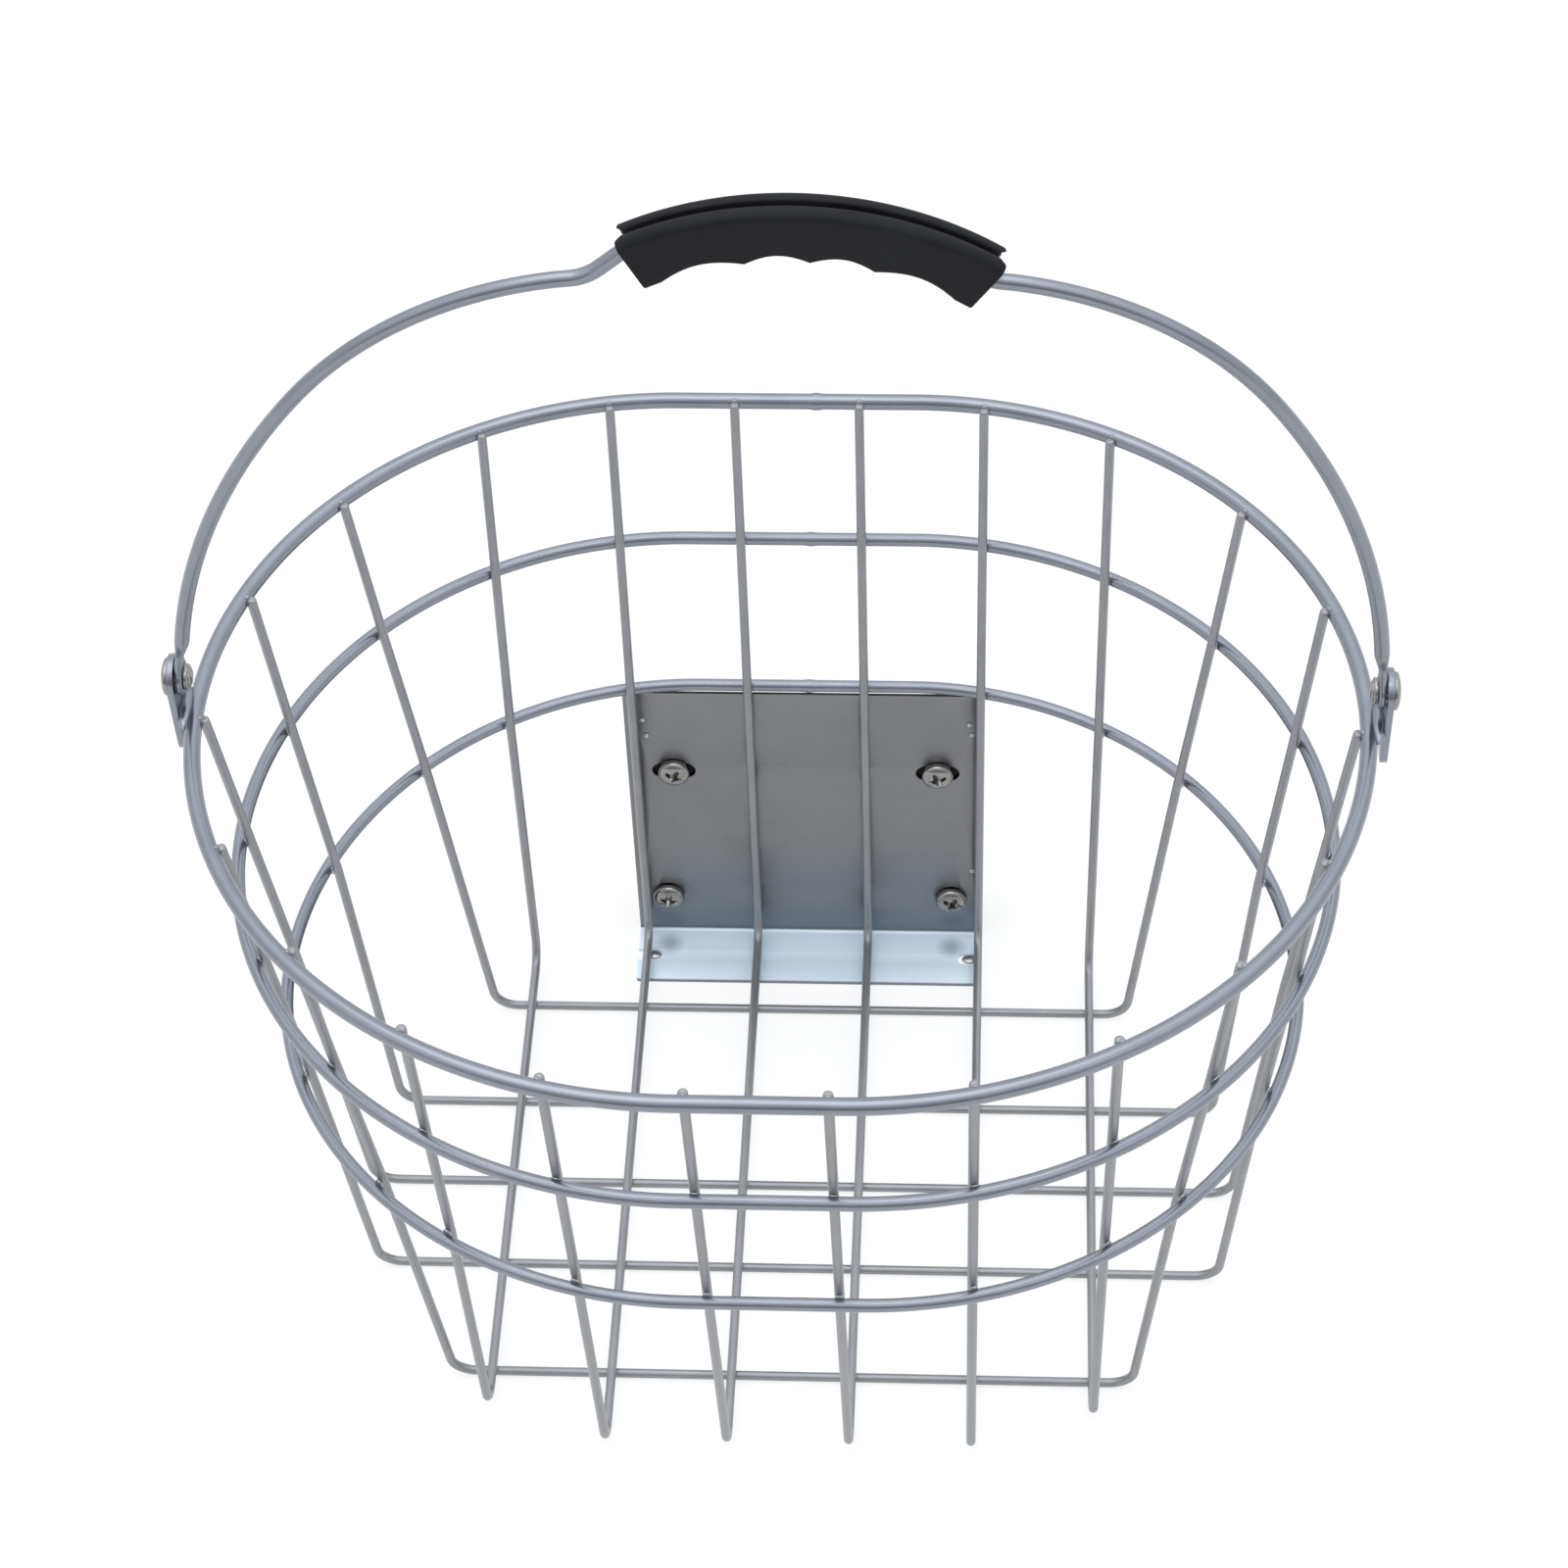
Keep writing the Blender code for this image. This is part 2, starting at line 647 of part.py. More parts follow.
def make_screws(parts, cutters, chrome):
    """Cross-head pan screws that enter from the front, through the plate's slots and the adapter."""
    seat = plate_front_y() - SEAT_GAP
    length = nut_front_y() + NUT_THICKNESS + SCREW_PAST_NUT - seat
    shank = 0.5 * SCREW_SHANK
    head = 0.5 * SCREW_HEAD
    profile = dome(head, SCREW_HEAD_HEIGHT, SCREW_HEAD_EDGE)
    profile += [(head, 0), (shank, 0), (shank, SCREW_TIP_CHAMFER - length)]
    profile += [(shank - SCREW_TIP_CHAMFER, -length), (0, -length)]
    top = seat - SCREW_HEAD_HEIGHT
    for name, x, height, _ in screw_places():
        screw = turned(f"plate_screw_{name}", profile, parts, chrome)
        screw.rotation_euler = (0.5 * math.pi, 0, 0)
        screw.location = (x, seat, height)
        for label, across, upright in (
            ("across", RECESS_LENGTH, RECESS_WIDTH),
            ("upright", RECESS_WIDTH, RECESS_LENGTH),
        ):
            low = (x - 0.5 * across, top - CUTTER_PAST, height - 0.5 * upright)
            high = (x + 0.5 * across, top + RECESS_DEPTH, height + 0.5 * upright)
            combine(screw, box(f"recess_{label}_{name}", low, high, cutters), "DIFFERENCE")
        smooth(screw)


def make_nuts(parts, zinc):
    """Hexagon nuts in the pockets of the adapter's back."""
    bore = circle((0, 0), 0.5 * SCREW_SHANK + HOLE_CLEARANCE)
    for name, x, height, _ in screw_places():
        nut = slab(f"plate_nut_{name}", [hexagon(NUT_FLATS), bore], NUT_THICKNESS, parts, zinc)
        nut.rotation_euler = (0.5 * math.pi, 0, 0)
        nut.location = (x, nut_front_y() + 0.5 * NUT_THICKNESS, height)


def make_ears(parts, cutters, steel):
    """Pressed ears: an eye round the pivot, and a tail welded to the outside of the rim."""
    for side, label in SIDES:
        outline = tapered_stadium(EAR_EYE_RADIUS, EAR_FOOT_RADIUS, EAR_LENGTH)
        bore = circle((0, 0), 0.5 * RIVET_SHANK + HOLE_CLEARANCE)
        ear = slab(f"handle_ear_{label}", [outline, bore], EAR_THICKNESS, parts, steel)
        ear.rotation_euler = (0.5 * math.pi, 0, 0.5 * math.pi)
        ear.location = (side * (EAR_INNER_X + 0.5 * EAR_THICKNESS), PIVOT_Y, PIVOT_Z)
        ear = as_mesh(ear)
        for offset in (-EAR_WELD_OFFSET, EAR_WELD_OFFSET):
            start = (side * (EAR_INNER_X + 0.5 * EAR_THICKNESS), PIVOT_Y + offset, RIM_HEIGHT)
            end = (side * (EAR_INNER_X - EAR_STANDOFF + SEAT_GAP), PIVOT_Y + offset, RIM_HEIGHT)
            weld = cylinder(f"weld_{label}", EAR_WELD_RADIUS, start, end, cutters, sides=12)
            combine(ear, weld, "UNION")
        smooth(ear)


def make_rivets(parts, steel):
    """Domed outside the ear, headed over inside the handle's flat end."""
    grip = EAR_THICKNESS + SEAT_GAP + BAIL_END_THICKNESS
    under_head = 0.5 * grip + SEAT_GAP
    head = dome(0.5 * RIVET_HEAD, RIVET_HEAD_HEIGHT, RIVET_HEAD_EDGE)
    tail = dome(0.5 * RIVET_TAIL, RIVET_TAIL_HEIGHT, RIVET_TAIL_EDGE)
    profile = [(radius, under_head + z) for radius, z in head]
    profile += [(0.5 * RIVET_HEAD, under_head), (0.5 * RIVET_SHANK, under_head)]
    profile += [(0.5 * RIVET_SHANK, -under_head), (0.5 * RIVET_TAIL, -under_head)]
    profile += [(radius, -under_head - z) for radius, z in reversed(tail)]
    middle_x = EAR_INNER_X + EAR_THICKNESS - 0.5 * grip
    for side, label in SIDES:
        rivet = turned(f"pivot_rivet_{label}", profile, parts, steel)
        rivet.rotation_euler = (0, side * 0.5 * math.pi, 0)
        rivet.location = (side * middle_x, PIVOT_Y, PIVOT_Z)
        smooth(rivet)


def bail_arcs():
    """Centres of the side and shoulder arcs of the right half, as (x, height above the pivot)."""
    side = Vector((BAIL_END_X - BAIL_SIDE_RADIUS, -BAIL_SIDE_CENTRE_DROP))
    step = BAIL_SIDE_RADIUS - BAIL_SHOULDER_RADIUS
    along = Vector((math.cos(BAIL_SHOULDER_START), math.sin(BAIL_SHOULDER_START)))
    return side, side + step * along


def shoulder_corner():
    """Where the shoulder arc ends and the crank starts, on the right."""
    _, shoulder = bail_arcs()
    reach = BAIL_SHOULDER_HALF_WIDTH - shoulder.x
    rise = math.sqrt(BAIL_SHOULDER_RADIUS**2 - reach**2)
    return Vector((BAIL_SHOULDER_HALF_WIDTH, shoulder.y + rise))


def crown_corner():
    """Where the crank meets the raised middle, on the right."""
    return shoulder_corner() + Vector((-BAIL_CRANK_LENGTH, BAIL_CRANK_RISE))


def crown_centre():
    """Centre of the arc of the raised middle, on the handle's own middle line."""
    corner = crown_corner()
    return Vector((0.0, corner.y - math.sqrt(BAIL_CROWN_RADIUS**2 - corner.x**2)))


def swayed(place):
    """The handle leans sideways: each point moves over in step with its height above the pivot."""
    return Vector((place[0] + BAIL_SWAY * place[1] / shoulder_corner().y, place[1]))


def bail_half():
    """Right half of the handle's centre line from its flat end to the centre plane, with bend radii."""
    side, shoulder = bail_arcs()
    start = math.asin((BAIL_WIRE_START - side.y) / BAIL_SIDE_RADIUS)
    end = math.acos((BAIL_SHOULDER_HALF_WIDTH - shoulder.x) / BAIL_SHOULDER_RADIUS)
    line = arc(side, BAIL_SIDE_RADIUS, start, BAIL_SHOULDER_START, 12)
    line += arc(shoulder, BAIL_SHOULDER_RADIUS, BAIL_SHOULDER_START, end, 12)[1:]
    radii = [0] * (len(line) - 1) + [BAIL_CRANK_BEND_RADIUS]
    centre = crown_centre()
    corner = crown_corner()
    turn = math.atan2(corner.y - centre.y, corner.x)
    crown = arc(centre, BAIL_CROWN_RADIUS, turn, 0.5 * math.pi, 5)
    return line + crown, radii + [BAIL_CRANK_BEND_RADIUS] + [0] * (len(crown) - 1)


def make_bail(parts, cutters, steel, axis):
    half, half_radii = bail_half()
    whole = half + [(-x, z) for x, z in reversed(half[:-1])]
    corners = [(swayed(place).x, 0, place[1]) for place in whole]
    path = rounded_path(corners, half_radii + half_radii[-2::-1])
    bail = as_mesh(wire("bail", path, BAIL_WIRE, parts, steel, parent=axis))
    shoulder = BAIL_END_LENGTH - 0.5 * (BAIL_END_WIDTH - BAIL_WIRE)
    lean = math.acos(0.5 * BAIL_END_WIDTH / BAIL_END_RADIUS)
    foot = arc((0, 0), BAIL_END_RADIUS, math.pi - lean, 2 * math.pi + lean, 13)
    top = [
        (0.5 * BAIL_END_WIDTH, shoulder),
        (0.5 * BAIL_WIRE, BAIL_END_LENGTH),
        (-0.5 * BAIL_WIRE, BAIL_END_LENGTH),
        (-0.5 * BAIL_END_WIDTH, shoulder),
    ]
    bore = circle((0, 0), 0.5 * RIVET_SHANK + HOLE_CLEARANCE)
    for side, label in SIDES:
        end = slab(f"bail_end_{label}", [foot + top, bore], BAIL_END_THICKNESS, cutters, parent=axis)
        end.rotation_euler = (0.5 * math.pi, 0, 0.5 * math.pi)
        end.location = (side * BAIL_END_X, 0, 0)
        combine(bail, as_mesh(end), "UNION")
    bail.data.materials.clear()
    bail.data.materials.append(steel)
    smooth(bail)


def grip_radii():
    """Centre of the grip's arcs, then its ceiling, top and bottom radii about it."""
    apex = crown_centre() + Vector((0, BAIL_CROWN_RADIUS))
    centre = Vector((swayed(apex).x + GRIP_SHIFT, crown_centre().y))
    corner = crown_corner()
    farthest = (swayed((-corner.x, corner.y)) - centre).length
    ceiling = farthest + 0.5 * BAIL_WIRE + SEAT_GAP
    top = ceiling + GRIP_LIP
    return centre, ceiling, top, top - GRIP_HEIGHT


def polar(radius, angle):
    """A point at an angle from the vertical, positive towards +X."""
    return radius * math.sin(angle), radius * math.cos(angle)


def grip_underside(bottom, reach):
    """Two short finger grooves each side of the middle cusp and a longer one outside them."""
    points = [polar(bottom, reach)]
    edge = reach - GRIP_END_LAND
    edges = [edge, GRIP_CUSP_SPACING, 0.0, -GRIP_CUSP_SPACING, -edge]
    for start, end in zip(edges, edges[1:]):
        for share in even(0.0, 1.0, GROOVE_POINTS)[:-1]:
            rise = GRIP_GROOVE_DEPTH * math.sin(math.pi * share)
            points.append(polar(bottom + rise, start + (end - start) * share))
    points.append(polar(bottom, -edge))
    points.append(polar(bottom, -reach))
    return points


def make_grip(parts, cutters, plastic, axis):
    centre, ceiling, top, bottom = grip_radii()
    reach = math.asin(0.5 * GRIP_LENGTH / top)
    upper = [polar(top, angle) for angle in even(-reach, reach, GRIP_POINTS)]
    grip = slab("grip", [upper + grip_underside(bottom, reach)], GRIP_DEPTH, parts, plastic, axis)
    grip.matrix_local = (
        Matrix.Translation((centre.x, 0, centre.y))
        @ Matrix.Rotation(GRIP_TILT, 4, "Y")
        @ Matrix.Rotation(0.5 * math.pi, 4, "X")
    )
    grip = as_mesh(grip)
    long_edges = grip.data.attributes.new("bevel_weight_edge", "FLOAT", "EDGE")
    for edge in grip.data.edges:
        ends = [grip.data.vertices[i].co for i in edge.vertices]
        level = abs(ends[0].z - ends[1].z) < 1e-6
        on_top = all(abs(math.hypot(p.x, p.y) - top) < 1e-5 for p in ends)
        if level:
            long_edges.data[edge.index].value = 1.0 if on_top else GRIP_LOWER_RADIUS / GRIP_TOP_RADIUS
    modify(grip, "BEVEL", width=GRIP_TOP_RADIUS, segments=3, limit_method="WEIGHT")
    past = reach + CHANNEL_END_PAST
    floor = bottom + GRIP_FLOOR
    outlines = (
        ("grip_channel", arc_band(floor, ceiling, past), BAIL_WIRE + 2 * HOLE_CLEARANCE),
        ("grip_slit", arc_band(ceiling - 0.5 * GRIP_LIP, top + CUTTER_PAST, past), GRIP_SLIT_WIDTH),
    )
    for name, outline, width in outlines:
        tool = slab(name, [outline], width, cutters)
        bpy.context.view_layer.update()
        tool.matrix_world = grip.matrix_world.copy()
        combine(grip, as_mesh(tool), "DIFFERENCE")
    grip.data.materials.clear()
    grip.data.materials.append(plastic)
    smooth(grip)


def arc_band(inner, outer, reach):
    """Closed outline between two concentric arcs."""
    angles = even(-reach, reach, GRIP_POINTS)
    return [polar(outer, a) for a in angles] + [polar(inner, a) for a in reversed(angles)]


def main():
    for thing in list(bpy.data.objects):
        bpy.data.objects.remove(thing)
    parts = new_collection("bicycle_basket")
    cutters = new_collection("cutters")
    satin = new_material("satin_steel", (0.52, 0.56, 0.62), 1.0, 0.35)
    wire_steel = new_material("wire_steel", (0.45, 0.46, 0.47), 1.0, 0.40)
    sheet = new_material("sheet_steel", (0.42, 0.43, 0.44), 1.0, 0.38)
    chrome = new_material("chrome", (0.78, 0.78, 0.79), 1.0, 0.12)
    zinc = new_material("zinc", (0.60, 0.61, 0.63), 1.0, 0.30)
    black = new_material("black_plastic", (0.022, 0.023, 0.026), 0.0, 0.45)
    axis = bpy.data.objects.new("handle_axis", None)
    parts.objects.link(axis)
    axis.location = (0, PIVOT_Y, PIVOT_Z)
    make_rings(parts, satin)
    make_long_wires(parts, wire_steel)
    make_cross_wires(parts, wire_steel)
    make_plate(parts, cutters, sheet)
    make_adapter(parts, cutters, black)
    make_screws(parts, cutters, chrome)
    make_nuts(parts, zinc)
    make_ears(parts, cutters, satin)
    make_rivets(parts, chrome)
    make_bail(parts, cutters, satin, axis)
    make_grip(parts, cutters, black, axis)


main()
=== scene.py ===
import math

import bmesh
import bpy
import numpy as np
from bpy.props import FloatProperty, FloatVectorProperty, IntProperty, PointerProperty
from bpy.types import Operator, Panel, PropertyGroup
from mathutils import Matrix, Vector


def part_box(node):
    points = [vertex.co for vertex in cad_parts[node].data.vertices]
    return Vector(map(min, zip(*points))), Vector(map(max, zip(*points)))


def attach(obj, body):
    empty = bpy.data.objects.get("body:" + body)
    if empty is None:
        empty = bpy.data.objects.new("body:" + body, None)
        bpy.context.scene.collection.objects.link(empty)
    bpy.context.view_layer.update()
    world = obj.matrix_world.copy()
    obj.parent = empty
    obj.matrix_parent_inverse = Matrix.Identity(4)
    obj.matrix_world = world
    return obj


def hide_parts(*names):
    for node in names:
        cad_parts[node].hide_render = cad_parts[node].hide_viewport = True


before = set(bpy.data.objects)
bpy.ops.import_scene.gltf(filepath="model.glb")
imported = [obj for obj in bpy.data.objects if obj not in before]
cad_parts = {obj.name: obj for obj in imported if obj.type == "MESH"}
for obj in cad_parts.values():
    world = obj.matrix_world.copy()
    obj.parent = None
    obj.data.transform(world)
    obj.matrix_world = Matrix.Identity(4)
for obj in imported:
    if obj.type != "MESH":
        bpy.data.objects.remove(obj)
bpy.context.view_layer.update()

bl_info = {
    "name": "Wire Basket Dressing",
    "version": (1, 0, 0),
    "blender": (4, 5, 0),
    "location": "3D View > Sidebar > Basket",
    "description": "Smooth wires, welds, sheet, screws, hinge and grip around the packed wire basket",
    "category": "Object",
}

# Ovals of the lower ring and the rim, in metres: half width, back, front, widest y, straight half lengths
LOWER_OVAL = np.array([0.1626, 0.1192, -0.1395, -0.0102, 0.0360, 0.0260])
RIM_OVAL = np.array([0.1750, 0.1218, -0.1648, -0.0170, 0.0382, 0.0225])
LOWER_HEIGHT = 0.1276
MIDDLE_HEIGHT = 0.1963
RIM_HEIGHT = 0.2564
SEAT_GAP = 0.0003
WIRE_ABOVE_RIM = 0.0015
WELD_SINK = 0.0012
BEND_RADIUS = 0.0085

# U wires: x of the long wires with their back and front floor bends, and floor lines of the cross wires
LONG_SPACING = 0.0400
LONG_INNER_BENDS = (0.1133, -0.1082)
LONG_OUTER_BENDS = (0.1005, -0.0945)
CROSS_FLOOR_Y = (0.0792, 0.0350, 0.0, -0.0350, -0.0792)
CROSS_HALF_WIDTH = (0.1130, 0.1425, 0.1481, 0.1425, 0.1130)
CROSS_TOP_Y = (0.0702, 0.0280, -0.0228, -0.0739, -0.1127)
WIRE_END_ROUND = 0.0009
ARC_POINTS = 9
FACET_SHARE = math.cos(math.radians(22.5))

# Sheet
PLATE_CENTRE_X = -0.0011
PLATE_HALF_WIDTH = 0.0625
PLATE_THICKNESS = 0.0012
PLATE_BEND = 0.0020
FLANGE_FRONT = 0.0922
FLANGE_ABOVE_GROUND = 0.0002
NOTCH_WIDTH = 0.0050
NOTCH_DEPTH = 0.0088
NOTCH_FROM_FRONT = 0.0118
SLOT_WIDTH = 0.0073
TOP_SLOT = 0.0153
BOTTOM_SLOT = 0.0125
PLATE_CORNER = 0.0018
FLANGE_CORNER = 0.0010
SHEET_BEVEL = 0.00022
# y of the painted reflections of the lower screws on the flat part of the sheet
MIRRORED_SCREW_Y = 0.1095

# Screws: offsets from the sheet's middle and heights of both pairs, and how each cross is turned
TOP_SCREW = (0.0463, 0.0862)
BOTTOM_SCREW = (0.0512, 0.0200)
SCREW_HEAD = (0.0056, 0.0036)
SCREW_SHANK = 0.0029
SCREW_EDGE = 0.0011
SCREW_CHAMFER = 0.0009
CROSS_DEPTH = 0.0024
CROSS_REACH = 0.0033
CROSS_WING = 0.00086
CROSS_CORE = 0.0023
SCREW_TURNS = {"top_left": 0.5, "top_right": -0.35, "bottom_left": 0.15, "bottom_right": 0.6}

# Hinge
PIVOT = np.array([0.0, -0.0170, 0.2697])
EAR_INNER_X = 0.1792
EAR_THICKNESS = 0.0020
EAR_EYE = 0.0070
EAR_FOOT = 0.0055
EAR_LENGTH = 0.0230
BEAD_RADIUS = 0.0025
BEAD_REACH = 0.0088
BEAD_OUTSIDE = 0.0029
BEAD_FORWARD = 0.0010
BEAD_ABOVE_RIM = 0.0008
EAR_BEVEL = 0.00035
RIVET_HEAD = (0.00585, 0.0021)
RIVET_TAIL = (0.0040, 0.0021)
RIVET_SHANK = 0.0025
BAIL_END_THICKNESS = 0.0022
BAIL_END_WIDTH = 0.0084
BAIL_END_RADIUS = 0.0055
BAIL_END_X = 0.1778
PRESSED_TO = 0.0160
PRESS_FADE = (0.0100, 0.0158)
EASE_FADE = (0.0030, 0.0150)

# Handle line: side arc, shoulder arc, crank and crown, as in the solid
SIDE_DROP = 0.0099
SIDE_RADIUS = 0.1982
SHOULDER_START = math.radians(37.9)
SHOULDER_RADIUS = 0.1161
SHOULDER_HALF_WIDTH = 0.0535
CRANK = (-0.0125, 0.0114)
CRANK_BEND = 0.0150
CROWN_RADIUS = 0.0944
SWAY = 0.0065

# Grip
GRIP_DEPTH = 0.0112
GRIP_LENGTH = 0.1047
GRIP_HEIGHT = 0.0167
GRIP_LIP = 0.0025
GRIP_TILT = math.radians(4.0)
GRIP_SHIFT = 0.0005
GRIP_TOP_ROUND = 0.0028
GRIP_LOW_ROUND = 0.0013
GRIP_SLIT = 0.0020
GRIP_FLOOR = 0.0036
CUSP_SPACING = math.radians(12.0)
GROOVE_DEPTH = 0.0022
GRIP_END_LAND = math.radians(3.5)
GRIP_NOTCH = 0.0016
GRIP_LIP_ROUND = 0.0008
GRIP_END_ROUND = 0.0006

# Welds: sizes along, up and outwards, the first three as shares of the nugget, and places on the sheet
WALL_WELD = np.array([0.70, 0.95, 0.42])
END_WELD = np.array([0.55, 0.45, 0.45])
FLOOR_WELD = np.array([0.70, 0.70, 0.35])
SHEET_WELD = np.array([0.0010, 0.0010, 0.0007])
NOTCH_WELD = np.array([0.0031, 0.0021, 0.0010])
SHEET_WELD_PLACES = (
    (-0.0572, 0.1118), (0.0562, 0.1112), (-0.0562, 0.1040), (0.0570, 0.1062), (0.0575, 0.0350))
NOTCH_WELD_X = (-0.0580, 0.0572)
SEAM_X = (0.0010, 0.0032, 0.0062)
SEAM_REACH = 0.0013
SEAM_SWELL = 0.13
HEAT_REACH = 0.0042

# Light: levels of the world by the height of a direction, from level to straight up, and the soft box
WORLD_LEVELS = ((0.0, 0.87), (0.30, 0.92), (0.60, 1.22), (0.85, 1.46), (1.0, 1.52))
LAMP_PLACE = Vector((-0.2, 0.0, 2.35))
LAMP_AIM = Vector((0.0, 0.0, 0.15))
LAMP_SIZE = 1.8

# Camera, fitted to the photograph: place, right, down and look
CAMERA_PLACE = (0.062078, -0.861222, 1.144421)
CAMERA_RIGHT = (0.998715, 0.042668, -0.027342)
CAMERA_DOWN = (0.012900, -0.735809, -0.677067)
CAMERA_LOOK = (-0.049007, 0.675844, -0.735414)

SIDES = ((-1, "left"), (1, "right"))
MIRROR = np.array([-1.0, 1.0, 1.0])
X_AXIS, Y_AXIS, Z_AXIS = np.eye(3)


def metres(name, description, default):
    return FloatProperty(name=name, description=description, default=default, unit="LENGTH")


def tint(name, description, default):
    return FloatVectorProperty(name=name, description=description, default=default, subtype="COLOR")


class BasketSizes(PropertyGroup):
    rim_wire: metres("Rim wire", "Thickness of the top ring", 0.0052)
    middle_wire: metres("Middle ring wire", "Thickness of the middle ring", 0.0044)
    lower_wire: metres("Lower ring wire", "Thickness of the lower ring", 0.0042)
    basket_wire: metres("Basket wire", "Thickness of the wires of walls and floor", 0.0031)
    bail_wire: metres("Handle wire", "Thickness of the handle's wire", 0.0046)
    nugget: metres("Weld nugget", "Half width of the weld between two wires", 0.0021)
    step: metres("Step", "Distance between sections along a wire", 0.0013)
    sides: IntProperty(name="Sides", description="Points round a wire", default=18, min=8)


class BasketColours(PropertyGroup):
    satin_steel: tint("Rings and handle", "Satin plated wire", (0.262, 0.277, 0.310))
    wire_steel: tint("Basket wires", "Dull plated wire", (0.290, 0.296, 0.306))
    sheet_steel: tint("Sheet", "Plate at the back", (0.248, 0.250, 0.260))
    chrome: tint("Screws and rivets", "Bright plated steel", (0.32, 0.31, 0.30))
    zinc: tint("Nuts", "Zinc plated steel", (0.52, 0.53, 0.55))
    plastic: tint("Grip and adapter", "Black moulded plastic", (0.0105, 0.0108, 0.0125))
    floor: tint("Floor", "Pale floor", (0.80, 0.80, 0.80))


class BasketStage(PropertyGroup):
    focal: FloatProperty(name="Focal length", description="Camera lens", default=94.41, unit="CAMERA")
    overhead: FloatProperty(
        name="Overhead lamp", description="Power of the soft box overhead", default=8.5, unit="POWER")
    floor_lift: FloatProperty(
        name="Floor lift", description="Share of plain white in the floor as it is seen directly",
        default=0.76)


def span(vectors):
    """Lengths of vectors."""
    return np.linalg.norm(vectors, axis=-1)


def unit(vectors):
    """Vectors of length one in the same directions."""
    return vectors / span(vectors)[..., None]


def half_oval(height, inset=0.0):
    """Right half of the wall's outline at a height, back to front: x = flat + reach cos a, y = widest +
    reach sin a, with a from 90 to -90 degrees, then moved inwards by the inset. Gives places and normals."""
    share = (height - LOWER_HEIGHT) / (RIM_HEIGHT - LOWER_HEIGHT)
    half, back, front, widest, flat_back, flat_front = LOWER_OVAL + share * (RIM_OVAL - LOWER_OVAL)
    angle = np.linspace(0.5 * np.pi, -0.5 * np.pi, 900)
    behind = angle >= 0
    flat = np.where(behind, flat_back, flat_front)
    reach_y = np.where(behind, back - widest, widest - front)
    reach_x = half - flat
    normal = unit(np.stack([np.cos(angle) / reach_x, np.sin(angle) / reach_y], -1))
    place = np.stack([flat + reach_x * np.cos(angle), widest + reach_y * np.sin(angle)], -1)
    return place - inset * normal, normal


def on_wall(height, inset, x=None, y=None, front=False):
    """Place and outward normal inside the outline, at a given y, or at a given x of its back or front."""
    place, normal = half_oval(height, inset)
    if y is None:
        middle = len(place) // 2
        half = slice(None, middle - 1, -1) if front else slice(middle)
        place, normal = place[half], normal[half]
        known, at = place[:, 0], abs(x)
    else:
        known, at = -place[:, 1], -y
    across, along, out_x, out_y = (np.interp(at, known, column) for column in (*place.T, *normal.T))
    if y is None:
        across, out_x = x, math.copysign(out_x, x)
    return np.array([across, along, height]), unit(np.array([out_x, out_y, 0.0]))


def rounded(corners, radii):
    """The corner points, with an arc of its own radius in place of each corner; radius 0 keeps a corner."""
    corners = [np.asarray(corner, float) for corner in corners]
    path = [corners[0]]
    for before, corner, after, radius in zip(corners, corners[1:], corners[2:], radii[1:]):
        back, ahead = unit(before - corner), unit(after - corner)
        turn = math.pi - math.acos(float(np.clip(back @ ahead, -1, 1)))
        if radius == 0 or turn < 1e-4:
            path.append(corner)
            continue
        centre = corner + unit(back + ahead) * radius / math.cos(0.5 * turn)
        reach = radius * math.tan(0.5 * turn)
        share = np.linspace(0, 1, ARC_POINTS)[:, None]
        first, last = corner + back * reach - centre, corner + ahead * reach - centre
        swept = first * np.sin((1 - share) * turn) + last * np.sin(share * turn)
        path += list(centre + swept / math.sin(turn))
    return np.array(path + [corners[-1]])


def distance_along(path):
    """Distance from the start of a line to each of its points."""
    return np.concatenate([[0], np.cumsum(span(np.diff(path, axis=0)))])


def evenly(path, step, closed=False):
    """The same line with points at even distances along it."""
    if closed:
        path = np.vstack([path, path[:1]])
    length = distance_along(path)
    at = np.linspace(0, length[-1], max(8, int(round(length[-1] / step))) + 1)
    if closed:
        at = at[:-1]
    return np.stack([np.interp(at, length, column) for column in path.T], -1)


def directions(path, closed=False):
    """Tangent at each point: the mean of the directions of its two neighbouring stretches."""
    if closed:
        ahead = unit(np.roll(path, -1, 0) - path)
        return unit(ahead + np.roll(ahead, 1, 0))
    ahead = unit(np.diff(path, axis=0))
    return unit(np.vstack([ahead[:1], ahead[:-1] + ahead[1:], ahead[-1:]]))


def carried(path, section, side, closed=False):
    """A section (rows, columns, 2) carried along the path: centre + first number times (tangent x side),
    + second number times the direction square to both."""
    along = directions(path, closed)
    across = unit(np.cross(along, side))
    up = np.cross(across, along)
    return path[:, None] + section[..., :1] * across[:, None] + section[..., 1:] * up[:, None]


def ring_of_angles(sides):
    return np.arange(sides) * 2 * np.pi / sides


def round_section(radii, sides):
    """Circles of the given radii, one row each."""
    angle = ring_of_angles(sides)
    return np.asarray(radii)[:, None, None] * np.stack([np.cos(angle), np.sin(angle)], -1)[None]


def cut_ends(path, radius, rounding):
    """Path and radii of a cropped wire whose two ends are rounded over by a small fillet."""
    turn = np.linspace(0, 0.5 * np.pi, 5)
    edge = radius - rounding + rounding * np.sin(turn)
    back = rounding * (1 - np.cos(turn))[:, None]
    start, end = unit(path[1] - path[0]), unit(path[-2] - path[-1])
    body = path[(span(path - path[0]) > rounding) & (span(path - path[-1]) > rounding)]
    path = np.vstack([path[0] + start * back, body, path[-1] + end * back[::-1]])
    return path, np.concatenate([edge, np.full(len(body), radius), edge[::-1]])


